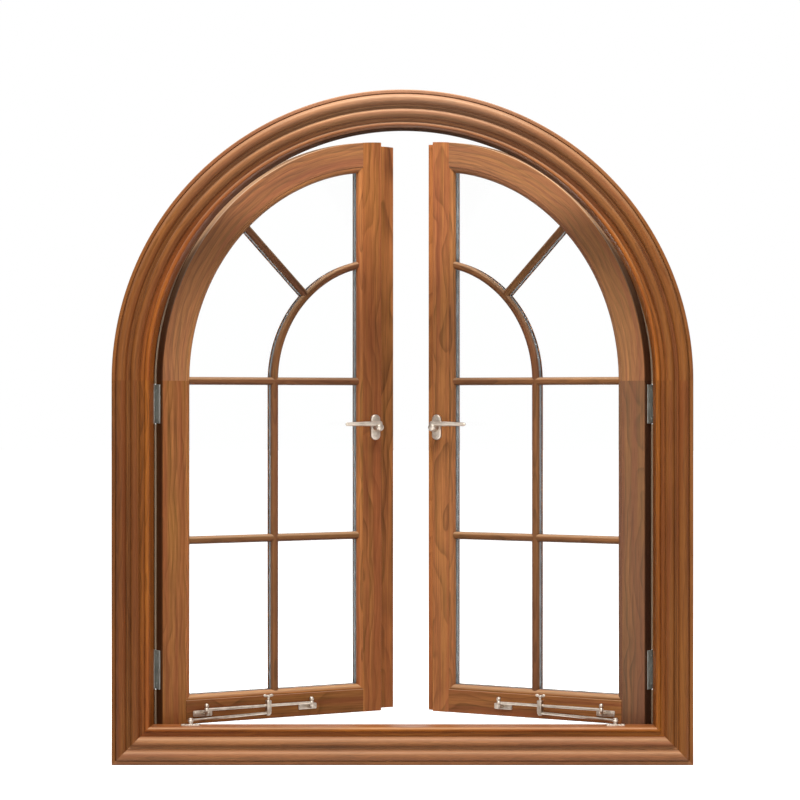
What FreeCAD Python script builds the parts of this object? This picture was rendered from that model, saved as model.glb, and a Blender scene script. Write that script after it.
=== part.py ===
# Arched-top timber window with two casement sashes, standing open outwards on sliding stays.
# Millimetres. +X is right as seen from indoors, +Y is outdoors, +Z is up.
# Y = 0 is the inner wall plane, where the back of the casing lies. The origin is on that
# plane, in the middle of the flat back of the bottom casing.
import FreeCAD
import Part
import math
import os

from FreeCAD import Vector

# Outline of the whole window
OVERALL_WIDTH = 1500.0
SPRING_HEIGHT = 992.0          # from the bottom edge up to the centre of the round head

# Casing moulding, from its outer edge inwards
FILLET_WIDTH = 10.5
FILLET_PROUD = 20.0            # how far each stretch stands out from the wall
QUIRK_WIDTH = 3.0
QUIRK_PROUD = 16.0
TORUS_WIDTH = 24.5
TORUS_PROUD = 30.0
STEP_WIDTH = 5.0               # each of the two fine fillets beside the torus
STEP_RISE = 2.0
VALLEY_PROUD = 14.0
SHOULDER_WIDTH = 10.0          # outer side of the inner roll
SHOULDER_BEND = (0.3, 0.7)     # point on its arc, as shares of its width and its rise
ROLL_PROUD = 22.0
OVOLO_WIDTH = 14.0             # inner side of the inner roll
OVOLO_BEND = (0.68, 0.3)       # the same for the ovolo's fall
EDGE_PROUD = 7.0
CASING_LAND = 46.0             # flat back that lies on the wall
EASED_EDGE = 3.0

# Inner frame, which stands in the wall and carries the sashes
FRAME_PROUD = 3.0              # front of the frame, ahead of the wall plane
CASING_LAP = 22.0              # how far the casing covers the frame
FRAME_CHAMFER = 5.0
BAND_WIDTH = 11.0              # flat band that shows inside the casing
NOSING_WIDTH = 13.0
NOSING_RISE = 6.0
REVEAL_SPLAY = 3.0             # uprights and head; the sill is level
STOP_DEPTH = 60.0              # wall plane to the back of the stop
STOP_OVERLAP = 11.0
FRAME_DEPTH = 108.0            # wall plane to the outdoor face
SEAL_WIDTH = 5.0
SEAL_THICK = 4.0
SEAL_TAPER = 1.25              # each side, from its foot to its lip
SEAL_SETBACK = 4.5

# Sashes
SASH_SEAT_GAP = 1.0            # stop to closed sash
SASH_THICK = 45.0
SASH_GAP = 6.0                 # round the head and down the hinge side
SASH_BOTTOM_GAP = 1.5
SASH_LIP = 5.0                 # lip round the back of the sash, into that gap
SASH_LIP_THICK = 8.0
HINGE_ROOM = 2.0               # between the lip and each end of a hinge
STILE_WIDTH = 81.0             # hinge stile and arched rail, bead included
BOTTOM_RAIL_WIDTH = 76.5
BEAD_WIDTH = 14.0
BEAD_DEPTH = 13.0
BEAD_QUIRK = 1.5
GLASS_SETBACK = 16.0           # sash face to the inner pane
GLASS_LAP = 15.0               # depth of the glazing rebate
MEETING_SIGHT = 78.0           # middle of the window to the edge of each pane
LEFT_MEETING_EDGE = 8.0        # left stile stops this far short of the middle
TONGUE_REACH = 42.0            # past the middle
TONGUE_THICK = 22.0
TONGUE_TOP_CUT = 8.0
TONGUE_BOTTOM_CUT = 4.0
TONGUE_CLEARANCE = 2.0
STRIP_WIDTH = 13.0             # closing strip on the edge of the right sash
STRIP_TOP_CUT = 7.0
STRIP_BOTTOM_CUT = 3.0
MEETING_SEAL_WIDTH = 5.0
MEETING_SEAL_THICK = 5.0
LEFT_OPEN_ANGLE = 30.5
RIGHT_OPEN_ANGLE = 29.5

# Glazing
PANE_THICK = 4.0
PANE_SPACE = 12.0
PANE_EDGE_GAP = 2.0
BAR_WIDTH = 21.0
BAR_PROUD = 11.0
BAR_ROUND = 9.0
BAR_LAP = 8.0                  # outdoor and spacer bars into the ring round them
OUTER_BAR_WIDTH = 17.0
OUTER_BAR_PROUD = 8.0
OUTER_BAR_ROUND = 6.0
OUTER_BEAD_CHAMFER = 7.5
SPACER_BAR_WIDTH = 15.0
CROSS_BAR_DROP = 420.0         # lower cross bar, below the springing
RADIAL_BAR_ANGLE = 135.0

# Hinges
HINGE_LENGTH = 102.0
HINGE_LOW = 234.0              # bottom edge to the middle of the lower hinge
HINGE_BELOW_SPRING = 61.0      # springing down to the middle of the upper hinge
KNUCKLE_RADIUS = 6.5
KNUCKLE_COUNT = 5
KNUCKLE_GAP = 0.3
HINGE_TIP_RADIUS = 5.0
HINGE_PIN_RADIUS = 3.0
HINGE_PIN_CLEARANCE = 0.2
LEAF_THICK = 2.5
LEAF_DEPTH = 28.0
HINGE_STANDOFF = 0.5           # frame's outdoor face to the knuckle

# Lever handles
HANDLE_HEIGHT = 867.0
HANDLE_OFFSET = 28.5           # middle of the window to each spindle, sashes closed
PLATE_WIDTH = 29.0
PLATE_HEIGHT = 70.0
PLATE_THICK = 8.0
PLATE_ROUND = 4.0
PLATE_SCREWS = 25.0            # above and below the middle
HUB_RADIUS = 14.0
HUB_LENGTH = 16.0
NECK_RADIUS = 8.0
NECK_LENGTH = 14.0
LEVER_LENGTH = 110.0
LEVER_RISE = 10.0              # middle of the lever, above the spindle
LEVER_ROOT = 15.0              # height of the lever at the hub
LEVER_FLATNESS = 0.8           # depth of the lever as a share of its height
LEVER_TAPER = ((-0.06, 0.7), (0.0, 1.0), (0.35, 0.9), (0.75, 0.74), (0.95, 0.4))  # run, height

# Sliding stays
ROD_RADIUS = 3.75
ROD_HEIGHT = 128.0
ROD_STANDOFF = 25.0            # sash face to the middle of the rod
POST_FIRST = 117.0             # hinge axis to each post
POST_LAST = 425.0
POST_RADIUS = 4.5
POST_HEIGHT = 14.5
POST_FOOT = 12.0               # how far the post runs on below the rod
BALL_RADIUS = 6.0
STAY_PLATE_LENGTH = 54.0
STAY_PLATE_WIDTH = 16.0
STAY_PLATE_THICK = 3.0
STAY_PLATE_DROP = 12.0         # plate's middle, below the rod
STAY_PLATE_LEAD = 28.0         # plate's end nearer the hinge to the post
CLAMP_WIDTH = 13.0
CLAMP_DEPTH = 16.0
CLAMP_RISE = 14.0              # clamp's top and bottom from the rod
CLAMP_FALL = 16.0
ROD_CLEARANCE = 0.2
WING_STEM_RADIUS = 3.5
WING_STEM_LENGTH = 10.0
WING_LENGTH = 30.0
WING_HEIGHT = 10.0
WING_THICK = 5.0
WING_OUTLINE = ((-1.0, 0.4), (-0.3, 0.0), (0.3, 0.0), (1.0, 0.4), (0.97, 0.9, 0.7, 1.0),
                (0.0, 0.6, -0.7, 1.0), (-0.97, 0.9, -1.0, 0.4))  # shares of half length and height
ARM_RADIUS = 3.5
ARM_LENGTH = 248.0
EYE_RADIUS = 8.0
EYE_THICK = 6.0
EYE_GAP = 0.5                  # above and below each eye
PIVOT_RADIUS = 3.0
PIVOT_CLEARANCE = 0.2
PIVOT_HEAD_RADIUS = 5.5
PIVOT_HEAD_THICK = 3.0
SILL_PIVOT_INSET = 198.0       # outer edge of the window to the pivot on the sill
SILL_PIVOT_DEPTH = 36.0        # behind the wall plane
SILL_PLATE_LENGTH = 50.0
SILL_PLATE_WIDTH = 18.0
SILL_PLATE_THICK = 3.0
SILL_POST_RADIUS = 6.0
SILL_SCREWS = 17.0             # each side of the pivot
STAY_SCREWS = (-20.0, 18.0)    # from each post
SCREW_RADIUS = 3.4
SCREW_RISE = 1.1

# Places worked out from the sizes above
HALF_WIDTH = OVERALL_WIDTH / 2
BOTTOM = -CASING_LAND / 2
SPRING = BOTTOM + SPRING_HEIGHT
QUIRK_AT = FILLET_WIDTH
TORUS_AT = QUIRK_AT + QUIRK_WIDTH
STEP_AT = TORUS_AT + TORUS_WIDTH
SHOULDER_AT = STEP_AT + 2 * STEP_WIDTH
OVOLO_AT = SHOULDER_AT + SHOULDER_WIDTH
CASING_WIDTH = OVOLO_AT + OVOLO_WIDTH
FRAME_EDGE = CASING_WIDTH - CASING_LAP
NOSING_AT = CASING_WIDTH + BAND_WIDTH
ARRIS_AT = NOSING_AT + NOSING_WIDTH
STOP_AT = ARRIS_AT + REVEAL_SPLAY
REBATE_AT = STOP_AT - STOP_OVERLAP
SASH_FRONT = STOP_DEPTH + SASH_SEAT_GAP
SASH_BACK = SASH_FRONT + SASH_THICK
SASH_RADIUS = HALF_WIDTH - REBATE_AT - SASH_GAP
LIP_RADIUS = SASH_RADIUS + SASH_LIP
LIP_FRONT = SASH_BACK - SASH_LIP_THICK
SASH_BASE = BOTTOM + REBATE_AT + SASH_BOTTOM_GAP
SILL_TOP = BOTTOM + ARRIS_AT
SIGHT_RADIUS = SASH_RADIUS - STILE_WIDTH
SIGHT_BASE = SASH_BASE + BOTTOM_RAIL_WIDTH
MEETING_FLAT = MEETING_SIGHT - BEAD_WIDTH
GLASS_FRONT = SASH_FRONT + GLASS_SETBACK
SPACE_FRONT = GLASS_FRONT + PANE_THICK
SPACE_BACK = SPACE_FRONT + PANE_SPACE
GLASS_BACK = SPACE_BACK + PANE_THICK
BAR_MIDDLE = (SIGHT_RADIUS + MEETING_SIGHT) / 2
HINGE_X = SASH_RADIUS + SASH_GAP / 2
HINGE_Y = FRAME_DEPTH + HINGE_STANDOFF + KNUCKLE_RADIUS
HINGE_MIDDLES = (BOTTOM + HINGE_LOW, SPRING - HINGE_BELOW_SPRING)
ROD_Y = SASH_FRONT - ROD_STANDOFF
ROD_Z = BOTTOM + ROD_HEIGHT
ARM_Z = ROD_Z - CLAMP_FALL - EYE_GAP - EYE_THICK / 2
REACH = OVERALL_WIDTH + SPRING_HEIGHT

UP = Vector(0, 0, 1)
ACROSS = Vector(1, 0, 0)
OUT = Vector(0, 1, 0)


def section(place, start, *steps):
    """Closed face: a step of two numbers is a straight run, and one of four is an arc."""
    edges = []
    here = start
    for step in steps:
        end = step[-2:]
        if len(step) == 4:
            edges.append(Part.Arc(place(*here), place(*step[:2]), place(*end)).toShape())
        else:
            edges.append(Part.makeLine(place(*here), place(*end)))
        here = end
    if here != start:
        edges.append(Part.makeLine(place(*here), place(*start)))
    return Part.Face(Part.Wire(edges))


def region(*corners):
    """Block that keeps what lies inside an outline drawn on the window's face."""
    ring = [Vector(x, -REACH, z) for x, z in corners + corners[:1]]
    return Part.Face(Part.makePolygon(ring)).extrude(OUT * (2 * REACH))


def box(x0, x1, y0, y1, z0, z1):
    return Part.makeBox(x1 - x0, y1 - y0, z1 - z0, Vector(x0, y0, z0))


def mirrored(shape):
    return shape.mirror(Vector(), ACROSS)


def joined(*solids):
    return solids[0].multiFuse(list(solids[1:])).removeSplitter()


def upright(profile, half, low, high):
    """Left upright with its outer edge at X = -half; the profile runs inwards from there."""
    face = section(lambda inset, y: Vector(inset - half, y, low), *profile)
    return face.extrude(UP * (high - low))


def level(profile, base, left, right):
    """Bottom member with its lower edge at Z = base."""
    face = section(lambda inset, y: Vector(left, y, base + inset), *profile)
    return face.extrude(ACROSS * (right - left))


def arched(profile, radius):
    """Half-round head about the springing point."""
    face = section(lambda inset, y: Vector(radius - inset, y, SPRING), *profile)
    return face.revolve(Vector(0, 0, SPRING), -OUT, 180)


def mitred_surround(profile, bottom_profile):
    """Left upright, right upright, head and bottom member, mitred in the lower corners.

    What stands past the level sill, which is the splay of the uprights, is cut square on top of it.
    """
    deep = HALF_WIDTH / 2
    side = region((-HALF_WIDTH, BOTTOM), (ARRIS_AT - HALF_WIDTH, SILL_TOP), (deep - HALF_WIDTH, SILL_TOP),
                  (deep - HALF_WIDTH, SPRING), (-HALF_WIDTH, SPRING))
    foot = region((-HALF_WIDTH, BOTTOM), (HALF_WIDTH, BOTTOM),
                  (HALF_WIDTH - deep, BOTTOM + deep), (deep - HALF_WIDTH, BOTTOM + deep))
    left = upright(profile, HALF_WIDTH, BOTTOM, SPRING).common(side)
    bottom = level(bottom_profile, BOTTOM, -HALF_WIDTH, HALF_WIDTH).common(foot)
    return left, mirrored(left), arched(profile, HALF_WIDTH), bottom


def casing_profile():
    """Fillet, quirk, torus, two fine fillets and inner roll, with a flat back on the wall."""
    eased = EASED_EDGE * (1 - math.sqrt(0.5))
    step_top = VALLEY_PROUD + STEP_RISE
    shoulder_x = SHOULDER_AT + SHOULDER_BEND[0] * SHOULDER_WIDTH
    shoulder_y = -VALLEY_PROUD - SHOULDER_BEND[1] * (ROLL_PROUD - VALLEY_PROUD)
    ovolo_x = OVOLO_AT + OVOLO_BEND[0] * OVOLO_WIDTH
    ovolo_y = -ROLL_PROUD + OVOLO_BEND[1] * (ROLL_PROUD - EDGE_PROUD)
    return ((0, 0),
            (0, EASED_EDGE - FILLET_PROUD),
            (eased, eased - FILLET_PROUD, EASED_EDGE, -FILLET_PROUD),
            (QUIRK_AT, -FILLET_PROUD),
            (QUIRK_AT, -QUIRK_PROUD),
            (TORUS_AT, -QUIRK_PROUD),
            (TORUS_AT + TORUS_WIDTH / 2, -TORUS_PROUD, STEP_AT, -step_top),
            (STEP_AT + STEP_WIDTH, -step_top),
            (STEP_AT + STEP_WIDTH, -VALLEY_PROUD),
            (SHOULDER_AT, -VALLEY_PROUD),
            (shoulder_x, shoulder_y, OVOLO_AT, -ROLL_PROUD),
            (ovolo_x, ovolo_y, CASING_WIDTH, -EDGE_PROUD),
            (CASING_WIDTH, -FRAME_PROUD),
            (CASING_LAND, -FRAME_PROUD),
            (CASING_LAND, 0))


def frame_profile(stop_at):
    """Flat band, nosing and reveal indoors; stop and sash rebate outdoors."""
    return ((FRAME_EDGE, FRAME_CHAMFER - FRAME_PROUD),
            (FRAME_EDGE + FRAME_CHAMFER, -FRAME_PROUD),
            (NOSING_AT, -FRAME_PROUD),
            (NOSING_AT + NOSING_WIDTH / 2, -FRAME_PROUD - NOSING_RISE, ARRIS_AT, -FRAME_PROUD),
            (stop_at, STOP_DEPTH),
            (REBATE_AT, STOP_DEPTH),
            (REBATE_AT, FRAME_DEPTH),
            (FRAME_EDGE, FRAME_DEPTH))


def seal_profile():
    """Soft strip on the back of the stop."""
    inner = STOP_AT - SEAL_SETBACK
    return ((inner - SEAL_WIDTH, STOP_DEPTH),
            (inner, STOP_DEPTH),
            (inner - SEAL_TAPER, STOP_DEPTH + SEAL_THICK),
            (inner - SEAL_WIDTH + SEAL_TAPER, STOP_DEPTH + SEAL_THICK))


def ovolo(flat, sight):
    """Bead from the flat of a sash member down to its sight edge, as one arc step."""
    run = sight - flat
    fall = BEAD_DEPTH - BEAD_QUIRK
    middle = SASH_FRONT + BEAD_QUIRK + fall * (1 - math.sqrt(0.5))
    return (flat + run * math.sqrt(0.5), middle, sight, SASH_FRONT + BEAD_DEPTH)


def sash_profile(width, *edge_run):
    """Flat face, ovolo bead and glazing rebate; edge_run draws the outer edge from the back forwards."""
    flat = width - BEAD_WIDTH
    return ((0, SASH_FRONT),
            (flat, SASH_FRONT),
            (flat, SASH_FRONT + BEAD_QUIRK),
            ovolo(flat, width),
            (width, GLASS_FRONT),
            (width - GLASS_LAP, GLASS_FRONT),
            (width - GLASS_LAP, SASH_BACK),
            *edge_run)


def half_window(radius, base, right):
    """Face of a left-hand half of the window shape, closed by an upright line at X = right."""
    top = math.sqrt(radius ** 2 - right ** 2)
    turn = (math.atan2(top, right) + math.pi) / 2
    place = lambda x, z: Vector(x, -REACH, z)
    return section(place, (-radius, base), (right, base), (right, SPRING + top),
                   (radius * math.cos(turn), SPRING + radius * math.sin(turn), -radius, SPRING))


def half_block(radius, base, right, front, back):
    face = half_window(radius, base, right)
    face.translate(OUT * (front + REACH))
    return face.extrude(OUT * (back - front))


def opening_block(beyond, front, back):
    """The glazed shape of a closed left sash, reaching past its sight edges."""
    return half_block(SIGHT_RADIUS + beyond, SIGHT_BASE - beyond, beyond - MEETING_SIGHT, front, back)


def corner_height(radius, offset):
    return SPRING + math.sqrt(radius ** 2 - offset ** 2)


def sash_members():
    """Hinge stile, arched rail and bottom rail of a closed left sash, beads mitred.

    The stile and the head carry the lip, which is cut away at the hinges.
    """
    flat = STILE_WIDTH - BEAD_WIDTH
    flat_x = SASH_RADIUS - flat
    rail_flat = SIGHT_BASE - BEAD_WIDTH
    top_flat = corner_height(flat_x, MEETING_FLAT)
    top_sight = corner_height(SIGHT_RADIUS, MEETING_SIGHT)
    over = SPRING + LIP_RADIUS
    lipped = sash_profile(STILE_WIDTH, (-SASH_LIP, SASH_BACK), (-SASH_LIP, LIP_FRONT), (0, LIP_FRONT))
    stile = upright(lipped, SASH_RADIUS, SASH_BASE, SPRING)
    stile = stile.common(region((-LIP_RADIUS, SASH_BASE), (-flat_x, SASH_BASE), (-flat_x, rail_flat),
                                (-SIGHT_RADIUS, SIGHT_BASE), (-SIGHT_RADIUS, SPRING),
                                (-LIP_RADIUS, SPRING)))
    room = HINGE_LENGTH / 2 + HINGE_ROOM
    for middle in HINGE_MIDDLES:
        stile = stile.cut(box(-LIP_RADIUS, -SASH_RADIUS, LIP_FRONT, SASH_BACK, middle - room, middle + room))
    rail = level(sash_profile(BOTTOM_RAIL_WIDTH, (0, SASH_BACK)), SASH_BASE, -SASH_RADIUS, 0)
    rail = rail.common(region((-flat_x, SASH_BASE), (-MEETING_FLAT, SASH_BASE),
                              (-MEETING_FLAT, rail_flat), (-MEETING_SIGHT, SIGHT_BASE),
                              (-SIGHT_RADIUS, SIGHT_BASE), (-flat_x, rail_flat)))
    head = arched(lipped, SASH_RADIUS)
    head = head.common(region((-LIP_RADIUS, SPRING), (-MEETING_SIGHT, SPRING),
                              (-MEETING_SIGHT, top_sight), (-MEETING_FLAT, top_flat),
                              (-MEETING_FLAT, over), (-LIP_RADIUS, over)))
    return stile, head, rail


def meeting_blank(edge_run):
    """Meeting stile of a closed left sash; edge_run draws its free edge from the back forwards."""
    flat = -MEETING_FLAT
    top_flat = corner_height(SASH_RADIUS - STILE_WIDTH + BEAD_WIDTH, MEETING_FLAT)
    top_sight = corner_height(SIGHT_RADIUS, MEETING_SIGHT)
    over = SPRING + SASH_RADIUS
    bead = ovolo(MEETING_FLAT, MEETING_SIGHT)
    rebate = GLASS_LAP - MEETING_SIGHT
    profile = ((flat, SASH_FRONT),
               (flat, SASH_FRONT + BEAD_QUIRK),
               (-bead[0], bead[1], -bead[2], bead[3]),
               (-MEETING_SIGHT, GLASS_FRONT),
               (rebate, GLASS_FRONT),
               (rebate, SASH_BACK))
    face = section(lambda x, y: Vector(x, y, SASH_BASE), *profile, *edge_run)
    stile = face.extrude(UP * (over - SASH_BASE))
    free_edge = max(x for x, y in edge_run)
    shape = half_block(SASH_RADIUS, SASH_BASE, free_edge, SASH_FRONT, SASH_BACK)
    room = region((flat, SASH_BASE), (REACH, SASH_BASE), (REACH, over), (flat, over),
                  (flat, top_flat), (-MEETING_SIGHT, top_sight), (-MEETING_SIGHT, SIGHT_BASE),
                  (flat, SIGHT_BASE - BEAD_WIDTH))
    return stile.common(shape).common(room)


def left_meeting_stile():
    """Meeting stile that carries the outdoor tongue, which is cut short at both ends."""
    edge = -LEFT_MEETING_EDGE
    front = SASH_BACK - TONGUE_THICK
    stile = meeting_blank(((edge, SASH_BACK), (edge, SASH_FRONT)))
    tongue = half_block(SASH_RADIUS - TONGUE_TOP_CUT, SASH_BASE + TONGUE_BOTTOM_CUT, TONGUE_REACH,
                        front, SASH_BACK)
    tongue = tongue.common(box(edge, TONGUE_REACH, front, SASH_BACK, SASH_BASE, SPRING + SASH_RADIUS))
    return joined(stile, tongue)


def right_meeting_stile():
    """Meeting stile rebated outdoors for the tongue, drawn as a left-hand one."""
    front = SASH_BACK - TONGUE_THICK - TONGUE_CLEARANCE
    step = -TONGUE_REACH - TONGUE_CLEARANCE
    edge_run = ((step, SASH_BACK), (step, front), (-STRIP_WIDTH, front), (-STRIP_WIDTH, SASH_FRONT))
    return meeting_blank(edge_run)


def right_meeting_strip():
    """Closing strip down the edge of the right sash, drawn as a left-hand one."""
    back = SASH_BACK - TONGUE_THICK - TONGUE_CLEARANCE
    strip = half_block(SASH_RADIUS - STRIP_TOP_CUT, SASH_BASE + STRIP_BOTTOM_CUT, 0, SASH_FRONT, back)
    return strip.common(box(-STRIP_WIDTH, 0, SASH_FRONT, back, SASH_BASE, SPRING + SASH_RADIUS))


def left_meeting_seal():
    """Soft strip in the step of the tongue, running to both ends of the stile."""
    left = -LEFT_MEETING_EDGE
    right = left + MEETING_SEAL_WIDTH
    back = SASH_BACK - TONGUE_THICK
    front = back - MEETING_SEAL_THICK
    strip = half_block(SASH_RADIUS, SASH_BASE, right, front, back)
    return strip.common(box(left, right, front, back, SASH_BASE, SPRING + SASH_RADIUS))


def bar_profile(width, back, front, rounding):
    """Bar section across its middle line, rounded towards the face it stands on."""
    half = width / 2
    side = math.copysign(rounding, back - front)
    soft = rounding * (1 - math.sqrt(0.5))
    lip = math.copysign(soft, back - front)
    return ((-half, back),
            (-half, front + side),
            (-half + soft, front + lip, -half + rounding, front),
            (half - rounding, front),
            (half - soft, front + lip, half, front + side),
            (half, back))


def bar_grid(profile):
    """Upright, two cross bars, quarter-round bar and radial bar of a closed left sash."""
    overrun = BEAD_WIDTH
    low = SIGHT_BASE - overrun
    left = -SIGHT_RADIUS - overrun
    right = overrun - MEETING_SIGHT
    stem = section(lambda s, y: Vector(s - BAR_MIDDLE, y, low), *profile).extrude(UP * (SPRING - low))
    rows = [section(lambda s, y, z=z: Vector(left, y, z + s), *profile).extrude(ACROSS * (right - left))
            for z in (SPRING, SPRING - CROSS_BAR_DROP)]
    ring = section(lambda s, y: Vector(-BAR_MIDDLE + s, y, SPRING), *profile)
    sweep = math.degrees(math.acos(-right / BAR_MIDDLE))
    ring = ring.revolve(Vector(0, 0, SPRING), OUT, sweep)
    spoke = section(lambda s, y: Vector(BAR_MIDDLE, y, s), *profile)
    spoke = spoke.extrude(ACROSS * (SIGHT_RADIUS + overrun - BAR_MIDDLE))
    spoke.rotate(Vector(), -OUT, RADIAL_BAR_ANGLE)
    spoke.translate(UP * SPRING)
    return joined(stem, ring, spoke, *rows)


def inner_bars(members):
    """Bars on the indoor pane, coped over the beads of the sash."""
    front = GLASS_FRONT - BAR_PROUD
    return bar_grid(bar_profile(BAR_WIDTH, GLASS_FRONT, front, BAR_ROUND)).cut(members)


def opening_wire(beyond, y):
    """Outline of the glazed shape, reaching past its sight edges, at depth y."""
    face = half_window(SIGHT_RADIUS + beyond, SIGHT_BASE - beyond, beyond - MEETING_SIGHT)
    face.translate(OUT * (y + REACH))
    return face.OuterWire


def outer_beads():
    """Outdoor glazing bead, chamfered at its sight edge, and the bars that repeat the indoor ones."""
    ring = opening_block(GLASS_LAP, GLASS_BACK, SASH_BACK).cut(opening_block(0, GLASS_BACK, SASH_BACK))
    splay = [opening_wire(0, SASH_BACK - OUTER_BEAD_CHAMFER), opening_wire(OUTER_BEAD_CHAMFER, SASH_BACK)]
    ring = ring.cut(Part.makeLoft(splay, True, True))
    profile = bar_profile(OUTER_BAR_WIDTH, GLASS_BACK, GLASS_BACK + OUTER_BAR_PROUD, OUTER_BAR_ROUND)
    bars = bar_grid(profile).common(opening_block(BAR_LAP, GLASS_BACK, SASH_BACK))
    return joined(ring, bars)


def glass_panes():
    beyond = GLASS_LAP - PANE_EDGE_GAP
    panes = [opening_block(beyond, front, front + PANE_THICK) for front in (GLASS_FRONT, SPACE_BACK)]
    return Part.makeCompound(panes)


def spacer():
    """Spacer round the edge of the two panes, with a bar behind each glazing bar."""
    edge = opening_block(GLASS_LAP - PANE_EDGE_GAP, SPACE_FRONT, SPACE_BACK)
    ring = edge.cut(opening_block(0, SPACE_FRONT, SPACE_BACK))
    half = SPACER_BAR_WIDTH / 2
    profile = ((-half, SPACE_FRONT), (half, SPACE_FRONT), (half, SPACE_BACK), (-half, SPACE_BACK))
    bars = bar_grid(profile).common(opening_block(BAR_LAP, SPACE_FRONT, SPACE_BACK))
    return joined(ring, bars)


def hinge_leaf(middle, wall, inward, own_first):
    """One leaf and its knuckles; wall is the X of the face it is screwed to."""
    low = middle - HINGE_LENGTH / 2
    pitch = HINGE_LENGTH / KNUCKLE_COUNT
    x0, x1 = sorted((wall, wall + inward * LEAF_THICK))
    plate_end = FRAME_DEPTH - LEAF_THICK
    solids = [box(x0, x1, plate_end - LEAF_DEPTH, plate_end, low, low + HINGE_LENGTH)]
    for step in range(own_first, KNUCKLE_COUNT, 2):
        base = low + step * pitch + KNUCKLE_GAP / 2
        tall = pitch - KNUCKLE_GAP
        solids.append(Part.makeCylinder(KNUCKLE_RADIUS, tall, Vector(-HINGE_X, HINGE_Y, base)))
        solids.append(box(x0, x1, plate_end, HINGE_Y, base, base + tall))
    return joined(*solids)


def hinge_pin(middle, radius):
    low = middle - HINGE_LENGTH / 2
    return Part.makeCylinder(radius, HINGE_LENGTH, Vector(-HINGE_X, HINGE_Y, low))


def hinge_frame_leaves():
    """Frame leaves of the left side, each with its pin and its ball tips."""
    leaves = []
    for middle in HINGE_MIDDLES:
        leaf = hinge_leaf(middle, REBATE_AT - HALF_WIDTH, 1, 0)
        tips = [Part.makeSphere(HINGE_TIP_RADIUS, Vector(-HINGE_X, HINGE_Y, middle + end))
                for end in (-HINGE_LENGTH / 2, HINGE_LENGTH / 2)]
        leaves.append(joined(leaf, hinge_pin(middle, HINGE_PIN_RADIUS), *tips))
    return Part.makeCompound(leaves)


def hinge_sash_leaves():
    """Sash leaves of a closed left sash, bored for the pin."""
    leaves = []
    for middle in HINGE_MIDDLES:
        leaf = hinge_leaf(middle, -SASH_RADIUS, -1, 1)
        leaves.append(leaf.cut(hinge_pin(middle, HINGE_PIN_RADIUS + HINGE_PIN_CLEARANCE)))
    return Part.makeCompound(leaves)


def ellipse_wire(centre, tall, deep, across):
    """Ellipse with the given height and depth; across is the way it faces."""
    major, minor = max(tall, deep) / 2, min(tall, deep) / 2
    wire = Part.Wire(Part.Ellipse(Vector(), major, minor).toShape())
    turn = FreeCAD.Rotation(UP if tall >= deep else across.cross(UP), Vector(), across, "XZY")
    wire.Placement = FreeCAD.Placement(centre, turn)
    return wire


def screw_head(place, out):
    return Part.makeCylinder(SCREW_RADIUS, SCREW_RISE, place, out)


def handle_plate():
    """Oblong plate with round ends on the meeting stile, its front edge rounded, with two screws."""
    x = -HANDLE_OFFSET
    z = BOTTOM + HANDLE_HEIGHT
    side = PLATE_WIDTH / 2
    end = PLATE_HEIGHT / 2
    face = section(lambda across, rise: Vector(x + across, SASH_FRONT, z + rise), (-side, side - end),
                   (-side, end - side), (0, end, side, end - side), (side, side - end),
                   (0, -end, -side, side - end))
    plate = face.extrude(-OUT * PLATE_THICK)
    front = SASH_FRONT - PLATE_THICK
    plate = plate.makeFillet(PLATE_ROUND, [e for e in plate.Edges if e.BoundBox.YMax < front + PLATE_ROUND])
    screws = [screw_head(Vector(x, front, z + rise), -OUT) for rise in (-PLATE_SCREWS, PLATE_SCREWS)]
    return joined(plate, *screws)


def handle_lever():
    """Hub, neck and tapering lever, which points away from the meeting edge above the spindle."""
    x = -HANDLE_OFFSET
    z = BOTTOM + HANDLE_HEIGHT
    face = SASH_FRONT - PLATE_THICK
    hub = Part.makeCone(HUB_RADIUS, NECK_RADIUS, HUB_LENGTH, Vector(x, face, z), -OUT)
    neck = Part.makeCylinder(NECK_RADIUS, NECK_LENGTH, Vector(x, face - HUB_LENGTH, z), -OUT)
    front = face - HUB_LENGTH - NECK_LENGTH + LEVER_ROOT / 2
    rings = [ellipse_wire(Vector(x - run * LEVER_LENGTH, front, z + LEVER_RISE), LEVER_ROOT * share,
                          LEVER_FLATNESS * LEVER_ROOT * share, -ACROSS) for run, share in LEVER_TAPER]
    return joined(hub, neck, Part.makeLoft(rings, True, False))


def from_hinge(u):
    """X on the closed sash at a distance from the hinge axis."""
    return u - HINGE_X


def stay_rod():
    start = Vector(from_hinge(POST_FIRST), ROD_Y, ROD_Z)
    return Part.makeCylinder(ROD_RADIUS, POST_LAST - POST_FIRST, start, ACROSS)


def stay_brackets(rod):
    """Two screwed plates, each with a neck and a post with a ball on top, that hold the rod."""
    brackets = []
    for u in (POST_FIRST, POST_LAST):
        x = from_hinge(u)
        middle = ROD_Z - STAY_PLATE_DROP
        plate = box(x - STAY_PLATE_LEAD, x - STAY_PLATE_LEAD + STAY_PLATE_LENGTH,
                    SASH_FRONT - STAY_PLATE_THICK, SASH_FRONT,
                    middle - STAY_PLATE_WIDTH / 2, middle + STAY_PLATE_WIDTH / 2)
        foot = ROD_Z - POST_FOOT
        neck = Part.makeCylinder(POST_RADIUS, ROD_STANDOFF, Vector(x, SASH_FRONT, foot), -OUT)
        post = Part.makeCylinder(POST_RADIUS, POST_FOOT + POST_HEIGHT, Vector(x, ROD_Y, foot - POST_RADIUS))
        ball = Part.makeSphere(BALL_RADIUS, Vector(x, ROD_Y, foot + POST_FOOT + POST_HEIGHT - POST_RADIUS))
        screws = [screw_head(Vector(x + along, SASH_FRONT - STAY_PLATE_THICK, middle), -OUT)
                  for along in STAY_SCREWS]
        brackets.append(joined(plate, neck, post, ball, *screws).cut(rod))
    return Part.makeCompound(brackets)


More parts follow.
